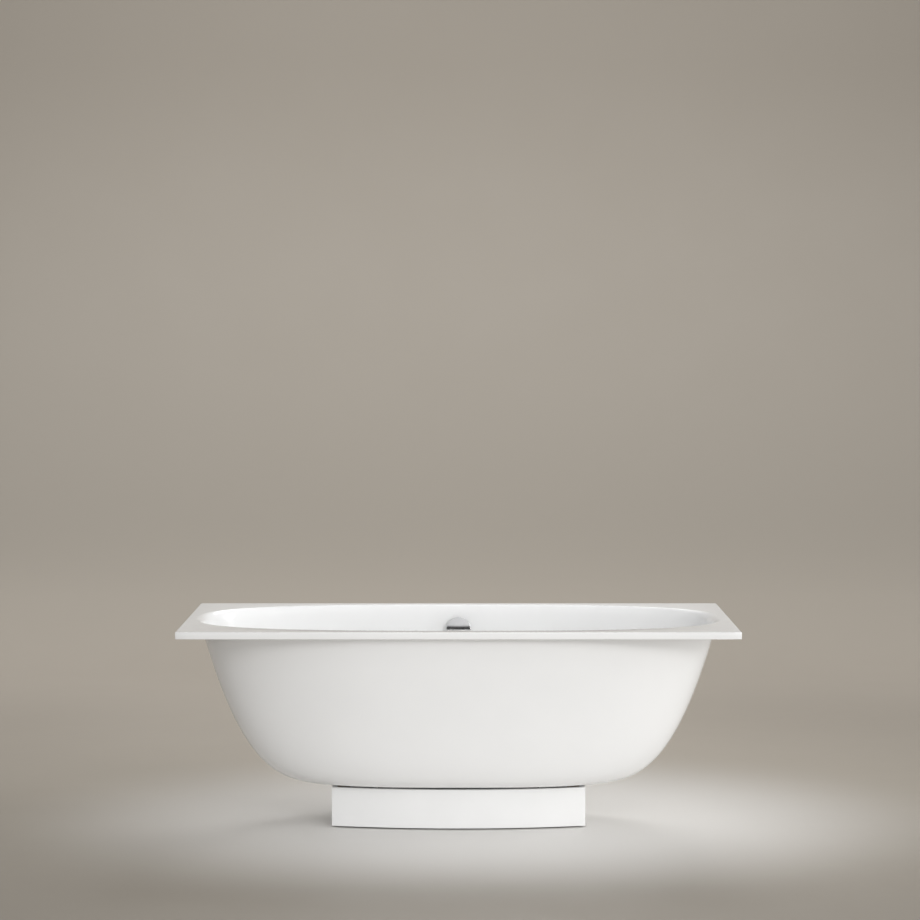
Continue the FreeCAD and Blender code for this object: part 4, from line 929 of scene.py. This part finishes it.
def studio_sweep():
    """A seamless floor that rises into a backdrop."""
    bend = arc((PAPER_BEND, PAPER_RADIUS), PAPER_RADIUS, -90, 0, PAPER_BEND_STEPS)
    outline = [(PAPER_FRONT, 0), (PAPER_BEND, 0)] + bend[1:] + [(PAPER_BACK, PAPER_TOP)]
    bm = bmesh.new()
    line = [bm.verts.new((-PAPER_HALF, reach, height)) for reach, height in outline]
    _, verts = grow(bm, [bm.edges.new(pair) for pair in zip(line, line[1:])])
    bmesh.ops.translate(bm, vec=(2 * PAPER_HALF, 0, 0), verts=verts)
    bmesh.ops.recalc_face_normals(bm, faces=bm.faces)
    sweep = object_of(bm, "studio_sweep")
    smooth_shading(sweep, PAPER_CRISP)
    tree, surface, paper = finish("studio_paper")
    roughness = placed(tree, patches, Scale=2.0, Low=0.55, High=0.65)
    coat(tree, surface, paper_colour_and_painted_light(tree), roughness)
    sweep.data.materials.append(paper)


def softbox(name, place, aim, size, spread, watts, mirrored):
    """A soft rectangular lamp with a gridded beam; polished surfaces don't mirror a fill lamp."""
    light = bpy.data.lights.new(name, "AREA")
    light.shape = "RECTANGLE"
    light.size, light.size_y = size
    light.spread = math.radians(spread)
    light.energy = watts
    lamp = bpy.data.objects.new(name, light)
    scene.collection.objects.link(lamp)
    lamp.location = place
    lamp.rotation_euler = (Vector(aim) - Vector(place)).to_track_quat("-Z", "Y").to_euler()
    lamp.visible_camera = False
    lamp.visible_glossy = mirrored


def studio_lights():
    """Soft lamps, mostly from the right."""
    for lamp in MIRRORED_LAMPS:
        softbox(*lamp, mirrored=True)
    for lamp in FILL_LAMPS:
        softbox(*lamp, mirrored=False)


def studio_room():
    """A ceiling that is brightest on the right, and dark walls that the camera sees as taupe."""
    world = bpy.data.worlds.new("studio_room")
    world.use_nodes = True
    tree = world.node_tree
    direction = add(tree, "ShaderNodeTexCoord").outputs["Generated"]
    towards = add(tree, "ShaderNodeSeparateXYZ", Vector=direction).outputs
    window = add(tree, "ShaderNodeMapRange", Value=towards["X"], From_Min=-1.0, From_Max=1.0,
                 To_Min=ROOM_LEFT, To_Max=ROOM_RIGHT)
    room = add(tree, "ShaderNodeMapRange", Value=towards["Z"], From_Min=CEILING_FADE[0],
               From_Max=CEILING_FADE[1], To_Min=ROOM_WALLS, To_Max=window.outputs["Result"])
    lit = tree.nodes["Background"]
    lit.inputs["Color"].default_value = WHITE
    tree.links.new(room.outputs["Result"], lit.inputs["Strength"])
    seen = add(tree, "ShaderNodeBackground", Color=ROOM_TONE, Strength=1.0)
    camera_ray = add(tree, "ShaderNodeLightPath").outputs["Is Camera Ray"]
    either = add(tree, "ShaderNodeMixShader", Fac=camera_ray)
    tree.links.new(lit.outputs["Background"], either.inputs[1])
    tree.links.new(seen.outputs["Background"], either.inputs[2])
    tree.links.new(either.outputs["Shader"], tree.nodes["World Output"].inputs["Surface"])
    scene.world = world


def studio_camera():
    """The front view, a little from above."""
    lens = bpy.data.cameras.new("front_view")
    lens.lens = CAMERA_LENS
    lens.sensor_width = CAMERA_SENSOR
    lens.clip_end = CAMERA_FAR
    camera = bpy.data.objects.new("front_view", lens)
    scene.collection.objects.link(camera)
    camera.location = CAMERA_PLACE
    camera.rotation_euler = (math.radians(90 - CAMERA_DOWN), 0, 0)
    scene.camera = camera


finish_solids()
shell()
plug()
knob()
plinth()
shade_strip()
foot_studs()
studio_sweep()
studio_lights()
studio_room()
studio_camera()
scene.view_settings.view_transform = "Standard"
